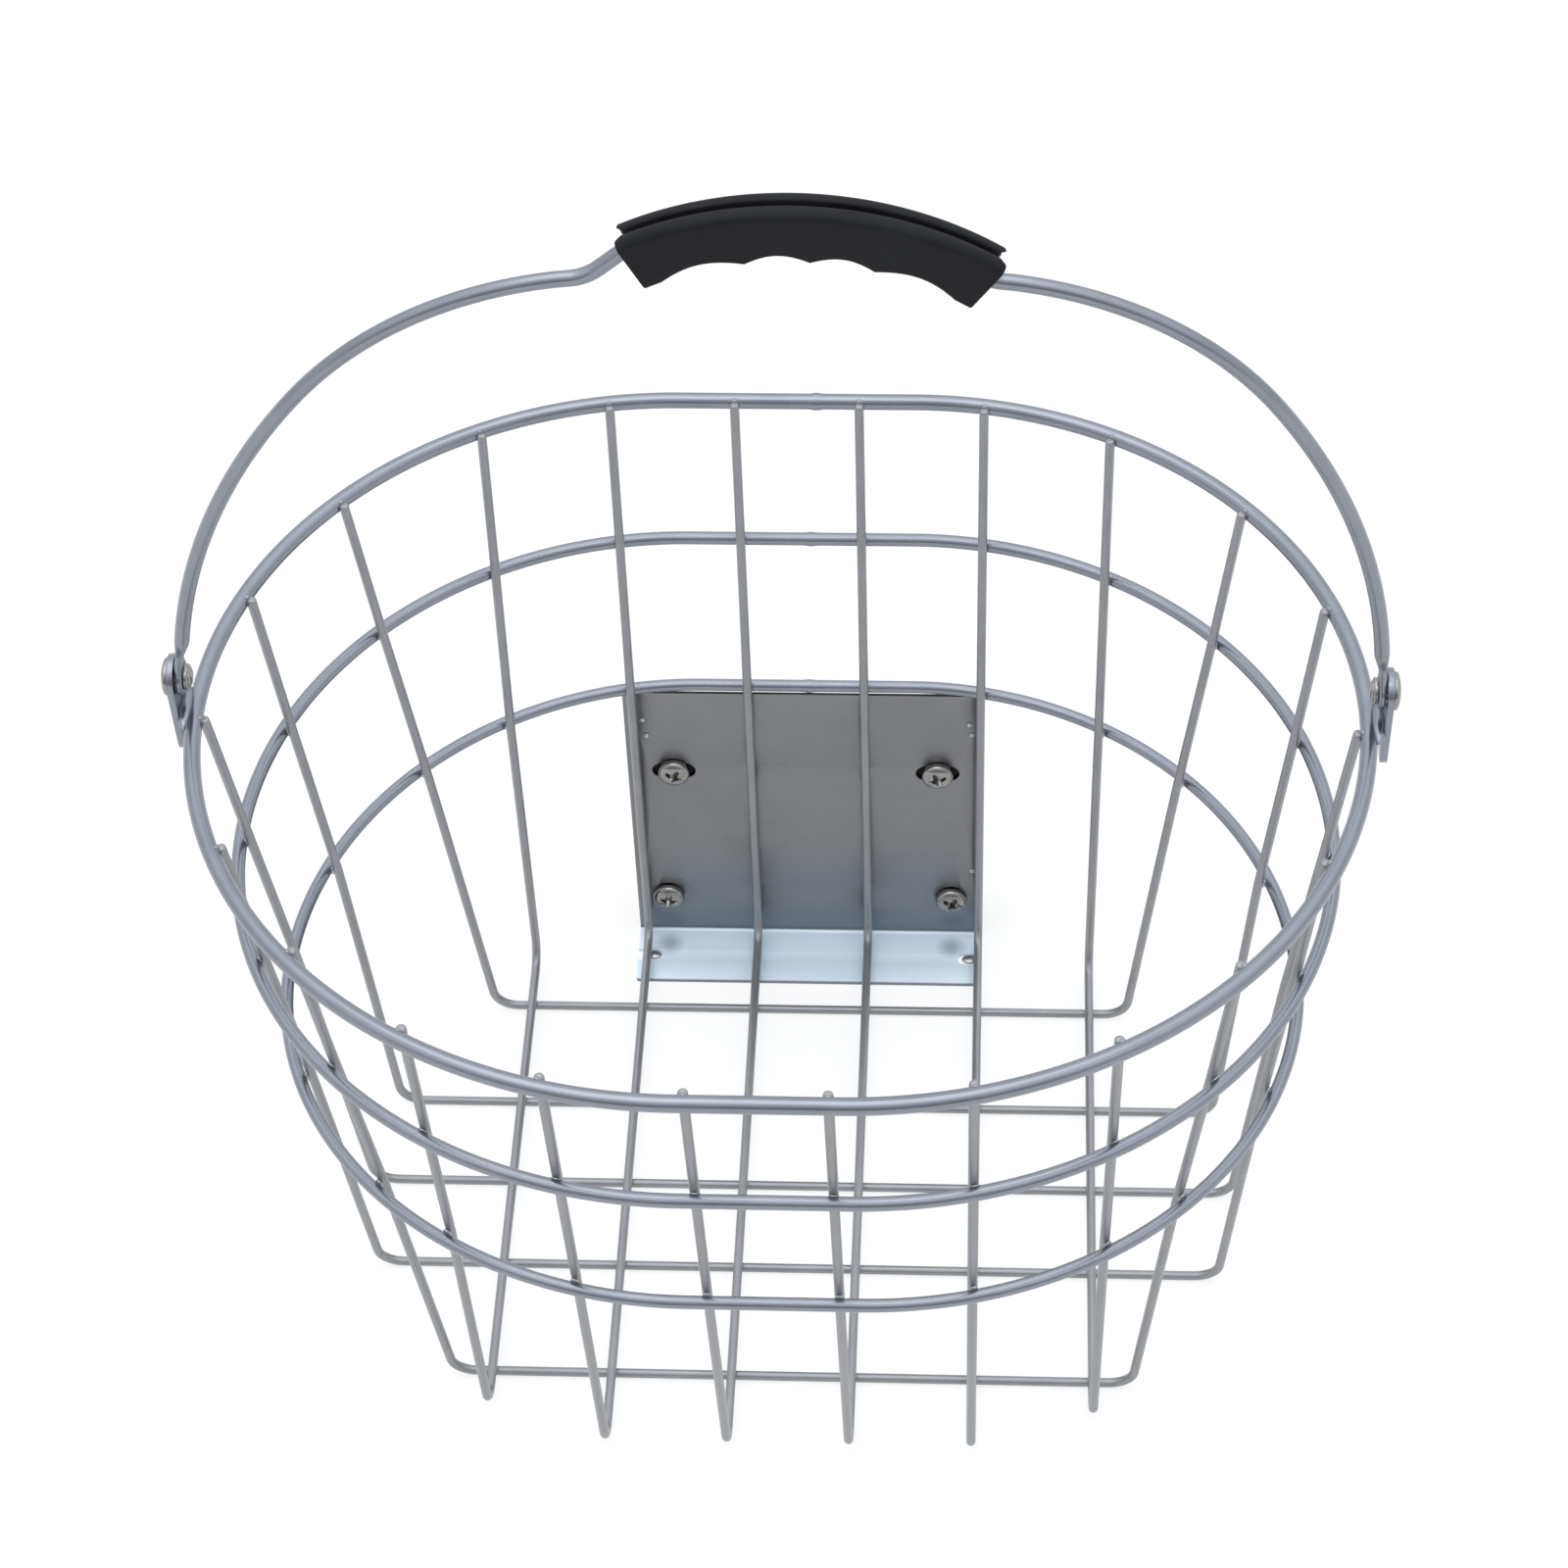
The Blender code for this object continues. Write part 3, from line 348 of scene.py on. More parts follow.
def linked(name, data):
    """A new object at the origin for some data, linked to the scene."""
    thing = bpy.data.objects.new(name, data)
    bpy.context.scene.collection.objects.link(thing)
    return thing


def fan_volume(points, faces):
    """Six times the signed volume under faces with equally many corners, each cut into a fan."""
    corners = points[np.array(faces)]
    return np.sum(corners[:, :1] * np.cross(corners[:, 1:-1], corners[:, 2:]))


def new_object(name, points, faces, uv=None, heat=None):
    """A mesh object at the origin whose faces look outwards, with its UV map and heat if they are given."""
    points = np.asarray(points, float).reshape(-1, 3)
    counts = np.array([len(face) for face in faces])
    volume = 0.0
    for count in np.unique(counts):
        volume += fan_volume(points, [face for face in faces if len(face) == count])
    if volume < 0:
        faces = [face[::-1] for face in faces]
        if uv is not None:
            ends = np.cumsum(counts)
            uv = uv[np.repeat(2 * ends - counts - 1, counts) - np.arange(ends[-1])]
    mesh = bpy.data.meshes.new(name)
    mesh.from_pydata(points.tolist(), [], faces)
    if uv is not None:
        mesh.uv_layers.new(name="Along").data.foreach_set("uv", uv.astype(np.float32).ravel())
    if heat is not None:
        mesh.attributes.new("heat", "FLOAT", "POINT").data.foreach_set("value", heat.astype(np.float32))
    mesh.shade_smooth()
    return linked(name, mesh)


def grid_faces(rows, columns, closed=False):
    """Quads of a grid of points that closes round its columns, with the row and column of each corner."""
    i, j = np.meshgrid(np.arange(rows - (not closed)), np.arange(columns), indexing="ij")
    row = np.stack([i, i + 1, i + 1, i], -1).reshape(-1, 4)
    column = np.stack([j, j, j + 1, j + 1], -1).reshape(-1, 4)
    return (row % rows) * columns + column % columns, row, column


def skin(name, grid, closed=False, heat_at=None):
    """Closed skin over a grid of points. Its UV is the distance along the rows and the share round."""
    rows, columns = grid.shape[:2]
    quads, row, column = grid_faces(rows, columns, closed)
    middle = grid.mean(axis=1)
    length = distance_along(np.vstack([middle, middle[:1]]) if closed else middle)
    uv = np.stack([length[row], column / columns], -1).reshape(-1, 2)
    faces = quads.tolist()
    if not closed:
        faces += [list(range(columns))[::-1], list(range((rows - 1) * columns, rows * columns))]
        uv = np.vstack([uv, [(length[0], 0.0)] * columns, [(length[-1], 0.0)] * columns])
    points = grid.reshape(-1, 3)
    heat = None
    if heat_at is not None:
        away = span(points[:, None] - np.asarray(heat_at)[None]).min(axis=1)
        heat = np.exp(-((away / HEAT_REACH) ** 2))
    thing = new_object(name, points, faces, uv, heat)
    thing.data.set_sharp_from_angle(angle=math.radians(50))
    return thing


def wire(name, path, radii, sides, side, closed=False, heat_at=None):
    """Round wire along a path, with a radius for each of its points."""
    return skin(name, carried(path, round_section(radii, sides), side, closed), closed, heat_at)


def evaluated(thing):
    """A mesh of a thing with its modifiers or curve settings applied."""
    bpy.context.view_layer.update()
    return bpy.data.meshes.new_from_object(thing.evaluated_get(bpy.context.evaluated_depsgraph_get()))


def settle(thing):
    """Applies the modifiers of a piece and marks its sharp edges."""
    mesh = evaluated(thing)
    thing.modifiers.clear()
    thing.data = mesh
    mesh.shade_smooth()
    mesh.set_sharp_from_angle(angle=math.radians(40))


def modify(thing, kind, **settings):
    modifier = thing.modifiers.new(kind.title(), kind)
    for key, value in settings.items():
        setattr(modifier, key, value)


def carve(thing, cutters):
    """Cuts the pieces out of a thing and deletes them."""
    for cutter in cutters:
        modify(thing, "BOOLEAN", operation="DIFFERENCE", object=cutter, solver="EXACT")
    settle(thing)
    for cutter in cutters:
        bpy.data.objects.remove(cutter)


def filled(name, outlines):
    """A flat face inside closed 2D outlines, with the inner ones as holes, and the mesh it came from."""
    curve = bpy.data.curves.new(name, "CURVE")
    curve.dimensions = "2D"
    curve.fill_mode = "BOTH"
    for outline in outlines:
        spline = curve.splines.new("POLY")
        spline.points.add(len(outline) - 1)
        rows = np.column_stack([outline, np.zeros(len(outline)), np.ones(len(outline))])
        spline.points.foreach_set("co", rows.ravel())
        spline.use_cyclic_u = True
    flat = linked(name + "_flat", curve)
    mesh = evaluated(flat)
    bpy.data.objects.remove(flat)
    shape = bmesh.new()
    shape.from_mesh(mesh)
    bmesh.ops.remove_doubles(shape, verts=shape.verts, dist=1e-6)
    return shape, mesh


def pressed(name, shape, mesh, place, thickness, bevel, slot_name):
    """Sheet of the given thickness whose middle surface is the flat shape carried to its place."""
    shape.to_mesh(mesh)
    shape.free()
    flat = np.zeros(len(mesh.vertices) * 3)
    mesh.vertices.foreach_get("co", flat)
    mesh.vertices.foreach_set("co", place(flat.reshape(-1, 3)).ravel())
    mesh.update()
    thing = linked(name, mesh)
    modify(thing, "SOLIDIFY", thickness=thickness, offset=0.0)
    modify(thing, "BEVEL", width=bevel, segments=2, limit_method="ANGLE", angle_limit=math.radians(50))
    settle(thing)
    return mount(thing, "basket", slot_name)


def arc2(centre, radius, start, end, count):
    """Points on an arc in a plane, both ends included."""
    angle = np.linspace(start, end, count)
    return np.stack([centre[0] + radius * np.cos(angle), centre[1] + radius * np.sin(angle)], -1)


def mount(thing, body, slot_name, *nodes):
    """Parents a piece to its body, hides the CAD nodes it stands for, and gives it its finish."""
    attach(thing, body)
    if nodes:
        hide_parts(*nodes)
    thing.data.materials.clear()
    thing.data.materials.append(finish(slot_name))
    return thing


def maths(operation, turned=False):
    """A method that joins two numbers or sockets in a maths node, the second first in a reflected form."""
    def method(self, other):
        first, second = (other, self) if turned else (self, other)
        return self.paint.node("ShaderNodeMath", {"operation": operation}, {0: first, 1: second})
    return method


class Value:
    """A shader socket that can be added, subtracted, multiplied and raised to a power like a number."""

    __add__, __radd__ = maths("ADD"), maths("ADD", True)
    __sub__, __rsub__ = maths("SUBTRACT"), maths("SUBTRACT", True)
    __mul__, __rmul__ = maths("MULTIPLY"), maths("MULTIPLY", True)
    __pow__, __rpow__ = maths("POWER"), maths("POWER", True)

    def __init__(self, paint, socket):
        self.paint = paint
        self.socket = socket

    def __abs__(self):
        return self.paint.node("ShaderNodeMath", {"operation": "ABSOLUTE"}, {0: self})


class Paint:
    """Builds the nodes of one material, or of the world, in front of its shader."""

    def __init__(self, name, kind="materials", shader="Principled BSDF"):
        self.owner = getattr(bpy.data, kind).new(name)
        self.owner.use_nodes = True
        self.tree = self.owner.node_tree
        self.shader = self.tree.nodes[shader]

    def node(self, kind, settings=None, inputs=None, output=0):
        """One node: its settings first, such as a ramp's stops, then the values or links of its sockets."""
        made = self.tree.nodes.new(kind)
        for key, value in (settings or {}).items():
            if key == "stops":
                self.set_stops(made.color_ramp.elements, value)
            else:
                setattr(made, key, value)
        for key, value in (inputs or {}).items():
            self.connect(made.inputs[key], value)
        return Value(self, made.outputs[output])

    def connect(self, socket, value):
        if isinstance(value, Value):
            self.tree.links.new(value.socket, socket)
        elif socket.type == "RGBA" and len(value) == 3:
            socket.default_value = (*value, 1.0)
        else:
            socket.default_value = value

    def coordinates(self, kind="Object", scale=(1.0, 1.0, 1.0)):
        """Object or UV coordinates, stretched by a scale on each axis."""
        where = self.node("ShaderNodeTexCoord", output={"Object": 3, "UV": 2}[kind])
        return self.node("ShaderNodeVectorMath", {"operation": "MULTIPLY"}, {0: where, 1: scale})

    def axes(self, where):
        """The three numbers of a place."""
        return [self.node("ShaderNodeSeparateXYZ", None, {0: where}, axis) for axis in range(3)]

    def noise(self, where, scale, detail=3.0, roughness=0.55):
        return self.node(
            "ShaderNodeTexNoise", None,
            {"Vector": where, "Scale": scale, "Detail": detail, "Roughness": roughness})

    def spread(self, value, low, high, to_low=0.0, to_high=1.0):
        """The value carried from one range to another, held at both ends."""
        return self.node("ShaderNodeMapRange", None, {0: value, 1: low, 2: high, 3: to_low, 4: to_high})

    def set_stops(self, elements, stops):
        """Gives a ramp its stops, each a position and a colour."""
        while len(elements) < len(stops):
            elements.new(0.5)
        for element, (position, colour) in zip(elements, stops):
            element.position = position
            element.color = (*colour, 1.0)

    def mixed(self, factor, first, second):
        """Two colours mixed by a factor."""
        return self.node("ShaderNodeMix", {"data_type": "RGBA"}, {0: factor, 6: first, 7: second}, output=2)

    def bump(self, height, strength, distance):
        return self.node(
            "ShaderNodeBump", None, {"Strength": strength, "Distance": distance, "Height": height})

    def set(self, **sockets):
        """Joins values to the shader's sockets, and gives the material or the world."""
        for name, value in sockets.items():
            self.connect(self.shader.inputs[name.replace("_", " ")], value)
        return self.owner


def shade(colour, factor):
    return tuple(min(1.0, factor * channel) for channel in colour)


def plated(name, colour, rough, streak, cloud, metallic):
    """Plated wire: fine drawing lines along it, cloudy plating, and duller, darker metal round the welds."""
    paint = Paint(name)
    along = paint.coordinates("UV", (70.0, 22.0, 1.0))
    lines = paint.noise(along, 1.0, 4.0, 0.6)
    clouds = paint.noise(paint.coordinates(), 55.0, 3.0)
    specks = paint.noise(paint.coordinates(), 900.0, 2.0)
    heat = paint.node("ShaderNodeAttribute", {"attribute_name": "heat"}, output=2)
    base = paint.mixed(paint.spread(clouds, 0.35, 0.65), shade(colour, 1 - cloud), shade(colour, 1 + cloud))
    base = paint.mixed(paint.spread(lines, 0.4, 0.75, 0.0, streak), base, shade(colour, 1.25))
    base = paint.mixed(paint.spread(specks, 0.64, 0.74, 0.0, 0.20), base, shade(colour, 0.75))
    base = paint.mixed(heat * 0.35, base, shade(colour, 0.72))
    height = lines * 0.6 + specks * 0.4
    return paint.set(
        Base_Color=base,
        Metallic=metallic,
        Roughness=paint.spread(lines + clouds, 0.7, 1.3, rough - 0.05, rough + 0.06) + heat * 0.12,
        Normal=paint.bump(height, 0.02, 0.0002),
    )


def sheet_finish(name, colour):
    """Rolled sheet, brushed across, with a painted bluish reflection towards its bend. The part that lies
    flat has a pale painted reflection, painted shade on its cut edge, and two dim painted reflections of the
    lower screws."""
    paint = Paint(name)
    grain = paint.noise(paint.coordinates("Object", (24.0, 900.0, 900.0)), 1.0, 5.0, 0.65)
    clouds = paint.noise(paint.coordinates(), 38.0, 4.0)
    across, along, height = paint.axes(paint.coordinates())
    # Mask of the painted bluish reflection, strongest near the bend
    low = paint.spread(height, 0.005, 0.023, 1.0, 0.0)
    # Mask of the flat part, which carries a pale painted reflection
    flange = paint.spread(height, 0.0016, 0.0022, 1.0, 0.0)
    base = paint.mixed(paint.spread(clouds, 0.35, 0.65), shade(colour, 0.93), shade(colour, 1.07))
    base = paint.mixed(paint.spread(grain, 0.35, 0.7, 0.0, 0.22), base, shade(colour, 1.25))
    # Painted reflection: the upright turns bluer towards its bend
    base = paint.mixed(low * 0.6, base, (0.225, 0.265, 0.315))
    # Painted reflections of the lower screws: darker spots round their mirrored places on the flat part
    aside = abs(across - PLATE_CENTRE_X) - BOTTOM_SCREW[0]
    away = (aside * aside + (along - MIRRORED_SCREW_Y) ** 2.0) ** 0.5
    painted_screw_reflection = paint.spread(away + clouds * 0.002, 0.0024, 0.0068, 0.80, 0.0)
    # Painted shade on the flat part's front cut edge
    lip = paint.spread(along, FLANGE_FRONT + 0.0001, FLANGE_FRONT + 0.0007, 0.85, 0.0)
    # Pale painted reflection on the flat part, with the painted screw reflections over it
    bottom = paint.mixed(painted_screw_reflection, (0.80, 0.91, 1.0), (0.34, 0.42, 0.52))
    # Painted shade of the cut edge laid over the flat part's painted reflection
    base = paint.mixed(flange, base, paint.mixed(lip, bottom, (0.12, 0.14, 0.16)))
    return paint.set(
        Base_Color=base,
        # Nearly non-metal on the flat part, so that its painted reflection shows as painted
        Metallic=1.0 - flange * 0.92,
        Roughness=paint.spread(grain + clouds, 0.7, 1.3, 0.33, 0.47),
        Normal=paint.bump(grain, 0.10, 0.0003),
    )


def bright(name, colour, rough):
    """Bright plated steel with fine swirl marks and a few dull spots."""
    paint = Paint(name)
    marks = paint.noise(paint.coordinates("Object", (1.0, 0.4, 1.0)), 700.0, 3.0)
    spots = paint.noise(paint.coordinates(), 260.0, 2.0)
    base = paint.mixed(paint.spread(spots, 0.55, 0.75, 0.0, 0.5), colour, shade(colour, 0.62))
    return paint.set(
        Base_Color=base,
        Metallic=1.0,
        Roughness=paint.spread(marks, 0.3, 0.7, rough - 0.04, rough + 0.08),
        Normal=paint.bump(marks, 0.05, 0.0002),
    )


def moulded(name, colour):
    """Black moulded plastic with a fine spark-eroded grain and faintly paler worn places."""
    paint = Paint(name)
    grain = paint.noise(paint.coordinates(), 2600.0, 2.0)
    wear = paint.noise(paint.coordinates(), 70.0, 5.0)
    dust = paint.noise(paint.coordinates(), 420.0, 2.0)
    base = paint.mixed(paint.spread(wear, 0.4, 0.7), shade(colour, 0.9), shade(colour, 1.35))
    base = paint.mixed(paint.spread(dust, 0.64, 0.78, 0.0, 0.08), base, (0.05, 0.05, 0.055))
    return paint.set(
        Base_Color=base,
        Metallic=0.0,
        Roughness=paint.spread(wear + grain, 0.7, 1.3, 0.46, 0.58),
        Specular_IOR_Level=0.15,
        Normal=paint.bump(grain, 0.15, 0.0002),
    )


FINISHES = {}


def finish(slot_name):
    """The material for a slot name, made once."""
    if slot_name not in FINISHES:
        colours = bpy.context.scene.basket_colours
        maker, name, colour, *levels = {
            "satin_steel": (plated, "Satin steel", colours.satin_steel, 0.23, 0.35, 0.05, 0.90),
            "wire_steel": (plated, "Wire steel", colours.wire_steel, 0.34, 0.30, 0.07, 0.60),
            "sheet_steel": (sheet_finish, "Sheet steel", colours.sheet_steel),
            "chrome": (bright, "Chrome", colours.chrome, 0.13),
            "zinc": (bright, "Zinc", colours.zinc, 0.30),
            "black_plastic": (moulded, "Black plastic", colours.plastic),
        }[slot_name]
        FINISHES[slot_name] = maker(name, tuple(colour), *levels)
    return FINISHES[slot_name]


def rings(sizes):
    """Height and wire of each ring, from the lowest up."""
    return (LOWER_HEIGHT, sizes.lower_wire), (MIDDLE_HEIGHT, sizes.middle_wire), (RIM_HEIGHT, sizes.rim_wire)


def wall_run(sizes, lean, where):
    """Line of a wall wire from the lower ring to its end above the rim, and its welds to the rings. It stands
    clear of the lower ring by the seat gap and is pressed further into each ring above."""
    welds = []
    for height, thickness in rings(sizes):
        sink = WELD_SINK * (height - LOWER_HEIGHT) / (RIM_HEIGHT - LOWER_HEIGHT)
        inset = (0.5 * (thickness + sizes.basket_wire) + SEAT_GAP - sink) / math.cos(lean)
        welds.append(on_wall(height, inset, **where(height)))
    wall = [place for place, _ in welds]
    return wall + [wall[-1] + unit(wall[-1] - wall[-2]) * WIRE_ABOVE_RIM], welds


def u_line(first, floor, last):
    """Line down one wall, across the floor and up the other, with a round bend at each end of the floor."""
    return rounded(first[::-1] + floor + last, [0] * 4 + [BEND_RADIUS] * 2 + [0] * 4)


def long_wire_line(number, sizes):
    """Centre line of a long wire, and the places and outward normals of its welds to the rings."""
    x = (number - 2.5) * LONG_SPACING
    bends = LONG_OUTER_BENDS if number in (0, 5) else LONG_INNER_BENDS
    floor_z = (0.5 * FACET_SHARE + 1.0) * sizes.basket_wire + SEAT_GAP
    walls, welds = [], []
    for bend, edge, front in zip(bends, RIM_OVAL[1:3], (False, True)):
        lean = math.atan2(abs(edge - bend), RIM_HEIGHT)
        wall, met = wall_run(sizes, lean, lambda height: {"x": x, "front": front})
        walls.append(wall)
        welds += met
    return u_line(walls[0], [(x, bend, floor_z) for bend in bends], walls[1]), welds


def cross_wire_line(number, sizes):
    """Centre line of a cross wire, and the places and outward normals of its welds to the rings."""
    floor_y, half_width, top_y = CROSS_FLOOR_Y[number], CROSS_HALF_WIDTH[number], CROSS_TOP_Y[number]
    floor_z = 0.5 * FACET_SHARE * sizes.basket_wire
    lean = math.atan2(RIM_OVAL[0] - half_width, RIM_HEIGHT)
    right, welds = wall_run(
        sizes, lean, lambda height: {"y": floor_y + (top_y - floor_y) * height / RIM_HEIGHT})
    welds = [(place * side, normal * side) for place, normal in welds for side in (1, MIRROR)]
    floor = [(-half_width, floor_y, floor_z), (half_width, floor_y, floor_z)]
    return u_line([place * MIRROR for place in right], floor, right), welds


def all_welds(sizes):
    """Every place where a wall wire is welded inside a ring, with its outward normal."""
    lines = [long_wire_line(number, sizes) for number in range(6)]
    lines += [cross_wire_line(number, sizes) for number in range(5)]
    return [weld for _, welds in lines for weld in welds]


def floor_crossings(sizes):
    """Where long wires lie on cross wires: the middle of each touching place."""
    z = (0.5 * FACET_SHARE + 0.5) * sizes.basket_wire + 0.5 * SEAT_GAP
    return np.array([
        (x, y, z)
        for y, half_width in zip(CROSS_FLOOR_Y, CROSS_HALF_WIDTH)
        for x in (np.arange(6) - 2.5) * LONG_SPACING
        if abs(x) < half_width - BEND_RADIUS
    ])


def make_wires(kind, line_of, count, side, sizes):
    """U wires of one kind, with rounded ends, darker round their welds."""
    crossings = list(floor_crossings(sizes))
    for number in range(count):
        line, welds = line_of(number, sizes)
        path, radii = cut_ends(evenly(line, sizes.step), 0.5 * sizes.basket_wire, WIRE_END_ROUND)
        heat_at = [place for place, _ in welds] + crossings
        piece = wire(f"{kind}_{number + 1}", path, radii, sizes.sides, side, heat_at=heat_at)
        mount(piece, "basket", "wire_steel", f"{kind}_wire_{number + 1}")


def nuggets(name, centres, axes, radii, slot_name):
    """Squashed balls that bridge the wires: centre + radii times a unit ball, turned to each weld's axes."""
    rows, columns = 7, 10
    polar = np.linspace(0, np.pi, rows + 2)[1:-1, None]
    turn = ring_of_angles(columns)
    ball = np.stack([
        np.sin(polar) * np.cos(turn), np.sin(polar) * np.sin(turn), np.cos(polar) * np.ones(columns)], -1)
    ball = np.vstack([ball.reshape(-1, 3), [[0, 0, 1], [0, 0, -1]]])
    quads, _, _ = grid_faces(rows, columns)
    around = np.arange(columns)
    ahead = (around + 1) % columns
    last = (rows - 1) * columns
    top = np.stack([np.full(columns, len(ball) - 2), around, ahead], -1)
    bottom = np.stack([np.full(columns, len(ball) - 1), last + ahead, last + around], -1)
    points = np.asarray(centres)[:, None] + np.einsum("pk,nkd->npd", ball * radii, np.asarray(axes))
    shift = np.arange(len(points))[:, None, None] * len(ball)
    faces = []
    for block in (quads, top, bottom):
        faces += (block + shift).reshape(-1, block.shape[-1]).tolist()
    thing = new_object(name, points, faces)
    thing.data.uv_layers.new(name="Along")
    mount(thing, "basket", slot_name)


def frames_from(normals):
    """Three unit axes for each weld: along the ring, up, and outwards."""
    outward = unit(np.asarray(normals))
    up = np.tile(Z_AXIS, (len(outward), 1))
    return np.stack([unit(np.cross(up, outward)), up, outward], 1)


def handle_line():
    """Right half of the handle's centre line in x and height above the pivot: side and shoulder in one line,
    and the crown. Then the crown's centre and the corner between shoulder and crank."""
    side = np.array([BAIL_END_X - SIDE_RADIUS, -SIDE_DROP])
    outward = np.array([math.cos(SHOULDER_START), math.sin(SHOULDER_START)])
    shoulder = side + (SIDE_RADIUS - SHOULDER_RADIUS) * outward
    start = math.asin((PRESSED_TO - side[1]) / SIDE_RADIUS)
    end = math.acos((SHOULDER_HALF_WIDTH - shoulder[0]) / SHOULDER_RADIUS)
    line = np.vstack([
        arc2(side, SIDE_RADIUS, start, SHOULDER_START, 60),
        arc2(shoulder, SHOULDER_RADIUS, SHOULDER_START, end, 50)[1:]])
    corner = line[-1]
    crank_end = corner + np.array(CRANK)
    crown_centre = np.array([0.0, crank_end[1] - math.sqrt(CROWN_RADIUS**2 - crank_end[0]**2)])
    turn = math.atan2(crank_end[1] - crown_centre[1], crank_end[0])
    return line, arc2(crown_centre, CROWN_RADIUS, turn, 0.5 * math.pi, 20), crown_centre, corner


def sway(points, top):
    """The handle leans sideways in step with the height above the pivot."""
    points = np.array(points, float)
    points[..., 0] += SWAY * points[..., 1] / top
    return points


def bail_path():
    """Centre line of the handle's wire above its pressed ends, with round bends at the crank."""
    line, crown, _, corner = handle_line()
    reach = 0.42 * CRANK_BEND
    line = np.vstack([line[span(line - line[-1]) > reach], line[-1:]])
    crown = np.vstack([crown[:1], crown[span(crown - crown[0]) > reach]])
    half = np.vstack([line, crown])
    radii = [0] * (len(line) - 1) + [CRANK_BEND, 0.6 * CRANK_BEND] + [0] * (len(crown) - 1)
    whole = sway(np.vstack([half, half[-2::-1] * (-1, 1)]), corner[1])
    return rounded(np.insert(whole, 1, 0.0, axis=1), radii + radii[-2::-1])


def smoothstep(value, low, high):
    """Nought below, one above, and 3 s s - 2 s s s between, where s is the share of the way."""
    share = np.clip((value - low) / (high - low), 0, 1)
    return share * share * (3 - 2 * share)


def make_bail(sizes):
    """Round wire pressed flat at both ends. Half width and half thickness follow the height above the
    pivot: an eye of constant radius, straight sides, then a smooth change to the round wire."""
    upper = evenly(bail_path(), 0.0011)
    foot = -BAIL_END_RADIUS * np.cos(np.linspace(0.10, 0.5 * np.pi, 12))
    low = np.concatenate([foot, np.linspace(0, PRESSED_TO - 0.0005, 24)[1:]])
    side_x = BAIL_END_X - SIDE_RADIUS + np.sqrt(SIDE_RADIUS**2 - (low + SIDE_DROP)**2)
    eased = smoothstep(low, *EASE_FADE)
    x = BAIL_END_X + (side_x - BAIL_END_X) * eased
    lean = SWAY * low / handle_line()[3][1] * eased
    right, left = (np.stack([sign * x + lean, 0 * low, low], -1) for sign in (1, -1))
    path = np.vstack([right, upper, left[::-1]])
    radius, half_width, half_thick = 0.5 * sizes.bail_wire, 0.5 * BAIL_END_WIDTH, 0.5 * BAIL_END_THICKNESS
    eye = np.sqrt(np.clip(BAIL_END_RADIUS**2 - low**2, 0, None))
    flat_half = np.where((low < 0) | (eye > half_width), eye, half_width)
    press = smoothstep(low, *PRESS_FADE)

    def rows(end, middle):
        return np.concatenate([end, np.full(len(upper), middle), end[::-1]])[:, None]

    wide = rows(flat_half + (radius - flat_half) * press, radius)
    thin = rows(half_thick + (radius - half_thick) * press, radius)
    power = 2 / rows(5.0 - 3.0 * press, 2.0)
    cosine, sine = np.cos(ring_of_angles(28)), np.sin(ring_of_angles(28))
    section = np.stack([
        thin * np.sign(cosine) * np.abs(cosine) ** power, wide * np.sign(sine) * np.abs(sine) ** power], -1)
    piece = skin("handle_wire", carried(path, section, Y_AXIS) + PIVOT)
    carve(piece, [bore(f"bore{sign}", RIVET_SHANK + SEAT_GAP, sign * BAIL_END_X) for sign in (-1, 1)])
    mount(piece, "handle", "satin_steel", "bail")


def bore(name, radius, x, reach=0.006):
    """Round bar on the hinge line, centred at x."""
    path = np.array([[x + step, 0, 0] for step in np.sign(x) * np.array([-reach, 0, reach])]) + PIVOT
    return wire(name, path, [radius] * 3, 32, Z_AXIS)


def dome(radius, height, edge, count):
    """Profile of a domed head from near its middle down to its rim."""
    angle = np.linspace(0.03, 0.5 * np.pi, count)
    return np.stack([radius * np.sin(angle), edge + (height - edge) * np.cos(angle)], -1)


def make_rivets():
    """Rivets turned about the hinge line: a domed head outside, a shank, and a tail headed over inside with a
    small step."""
    stack = EAR_THICKNESS + SEAT_GAP + BAIL_END_THICKNESS
    under = 0.5 * stack + SEAT_GAP
    (head_radius, head_height), (tail_radius, tail_height) = RIVET_HEAD, RIVET_TAIL
    head = dome(head_radius, head_height, 0.0005, 12) + (0, under)
    inner = tail_radius - 0.0009
    tail = (dome(inner, tail_height, 0.0012, 8) + (0, under)) * (1, -1)
    step = np.array([
        (inner, -under - 0.0011), (tail_radius - 0.0003, -under - 0.0010),
        (tail_radius, -under - 0.0007), (tail_radius, -under)])
    neck = np.array([(head_radius, under), (RIVET_SHANK, under), (RIVET_SHANK, -under)])
    profile = np.vstack([head, neck, step[::-1], tail[::-1]])[:, None]
    angle = ring_of_angles(40)[:, None]
    for sign, side in SIDES:
        place = np.array([sign * (EAR_INNER_X + EAR_THICKNESS - 0.5 * stack), PIVOT[1], PIVOT[2]])
        spoke = -sign * np.cos(angle) * Y_AXIS - np.sin(angle) * Z_AXIS
        grid = place + profile[..., :1] * spoke + profile[..., 1:] * (sign * X_AXIS)
        mount(skin(f"rivet_{side}", grid), "basket", "chrome", f"pivot_rivet_{side}")


def screw_places():
    """Name, x and height of each screw."""
    return [
        (f"{row}_{side}", PLATE_CENTRE_X + sign * offset, height)
        for row, (offset, height) in (("top", TOP_SCREW), ("bottom", BOTTOM_SCREW))
        for sign, side in SIDES
    ]


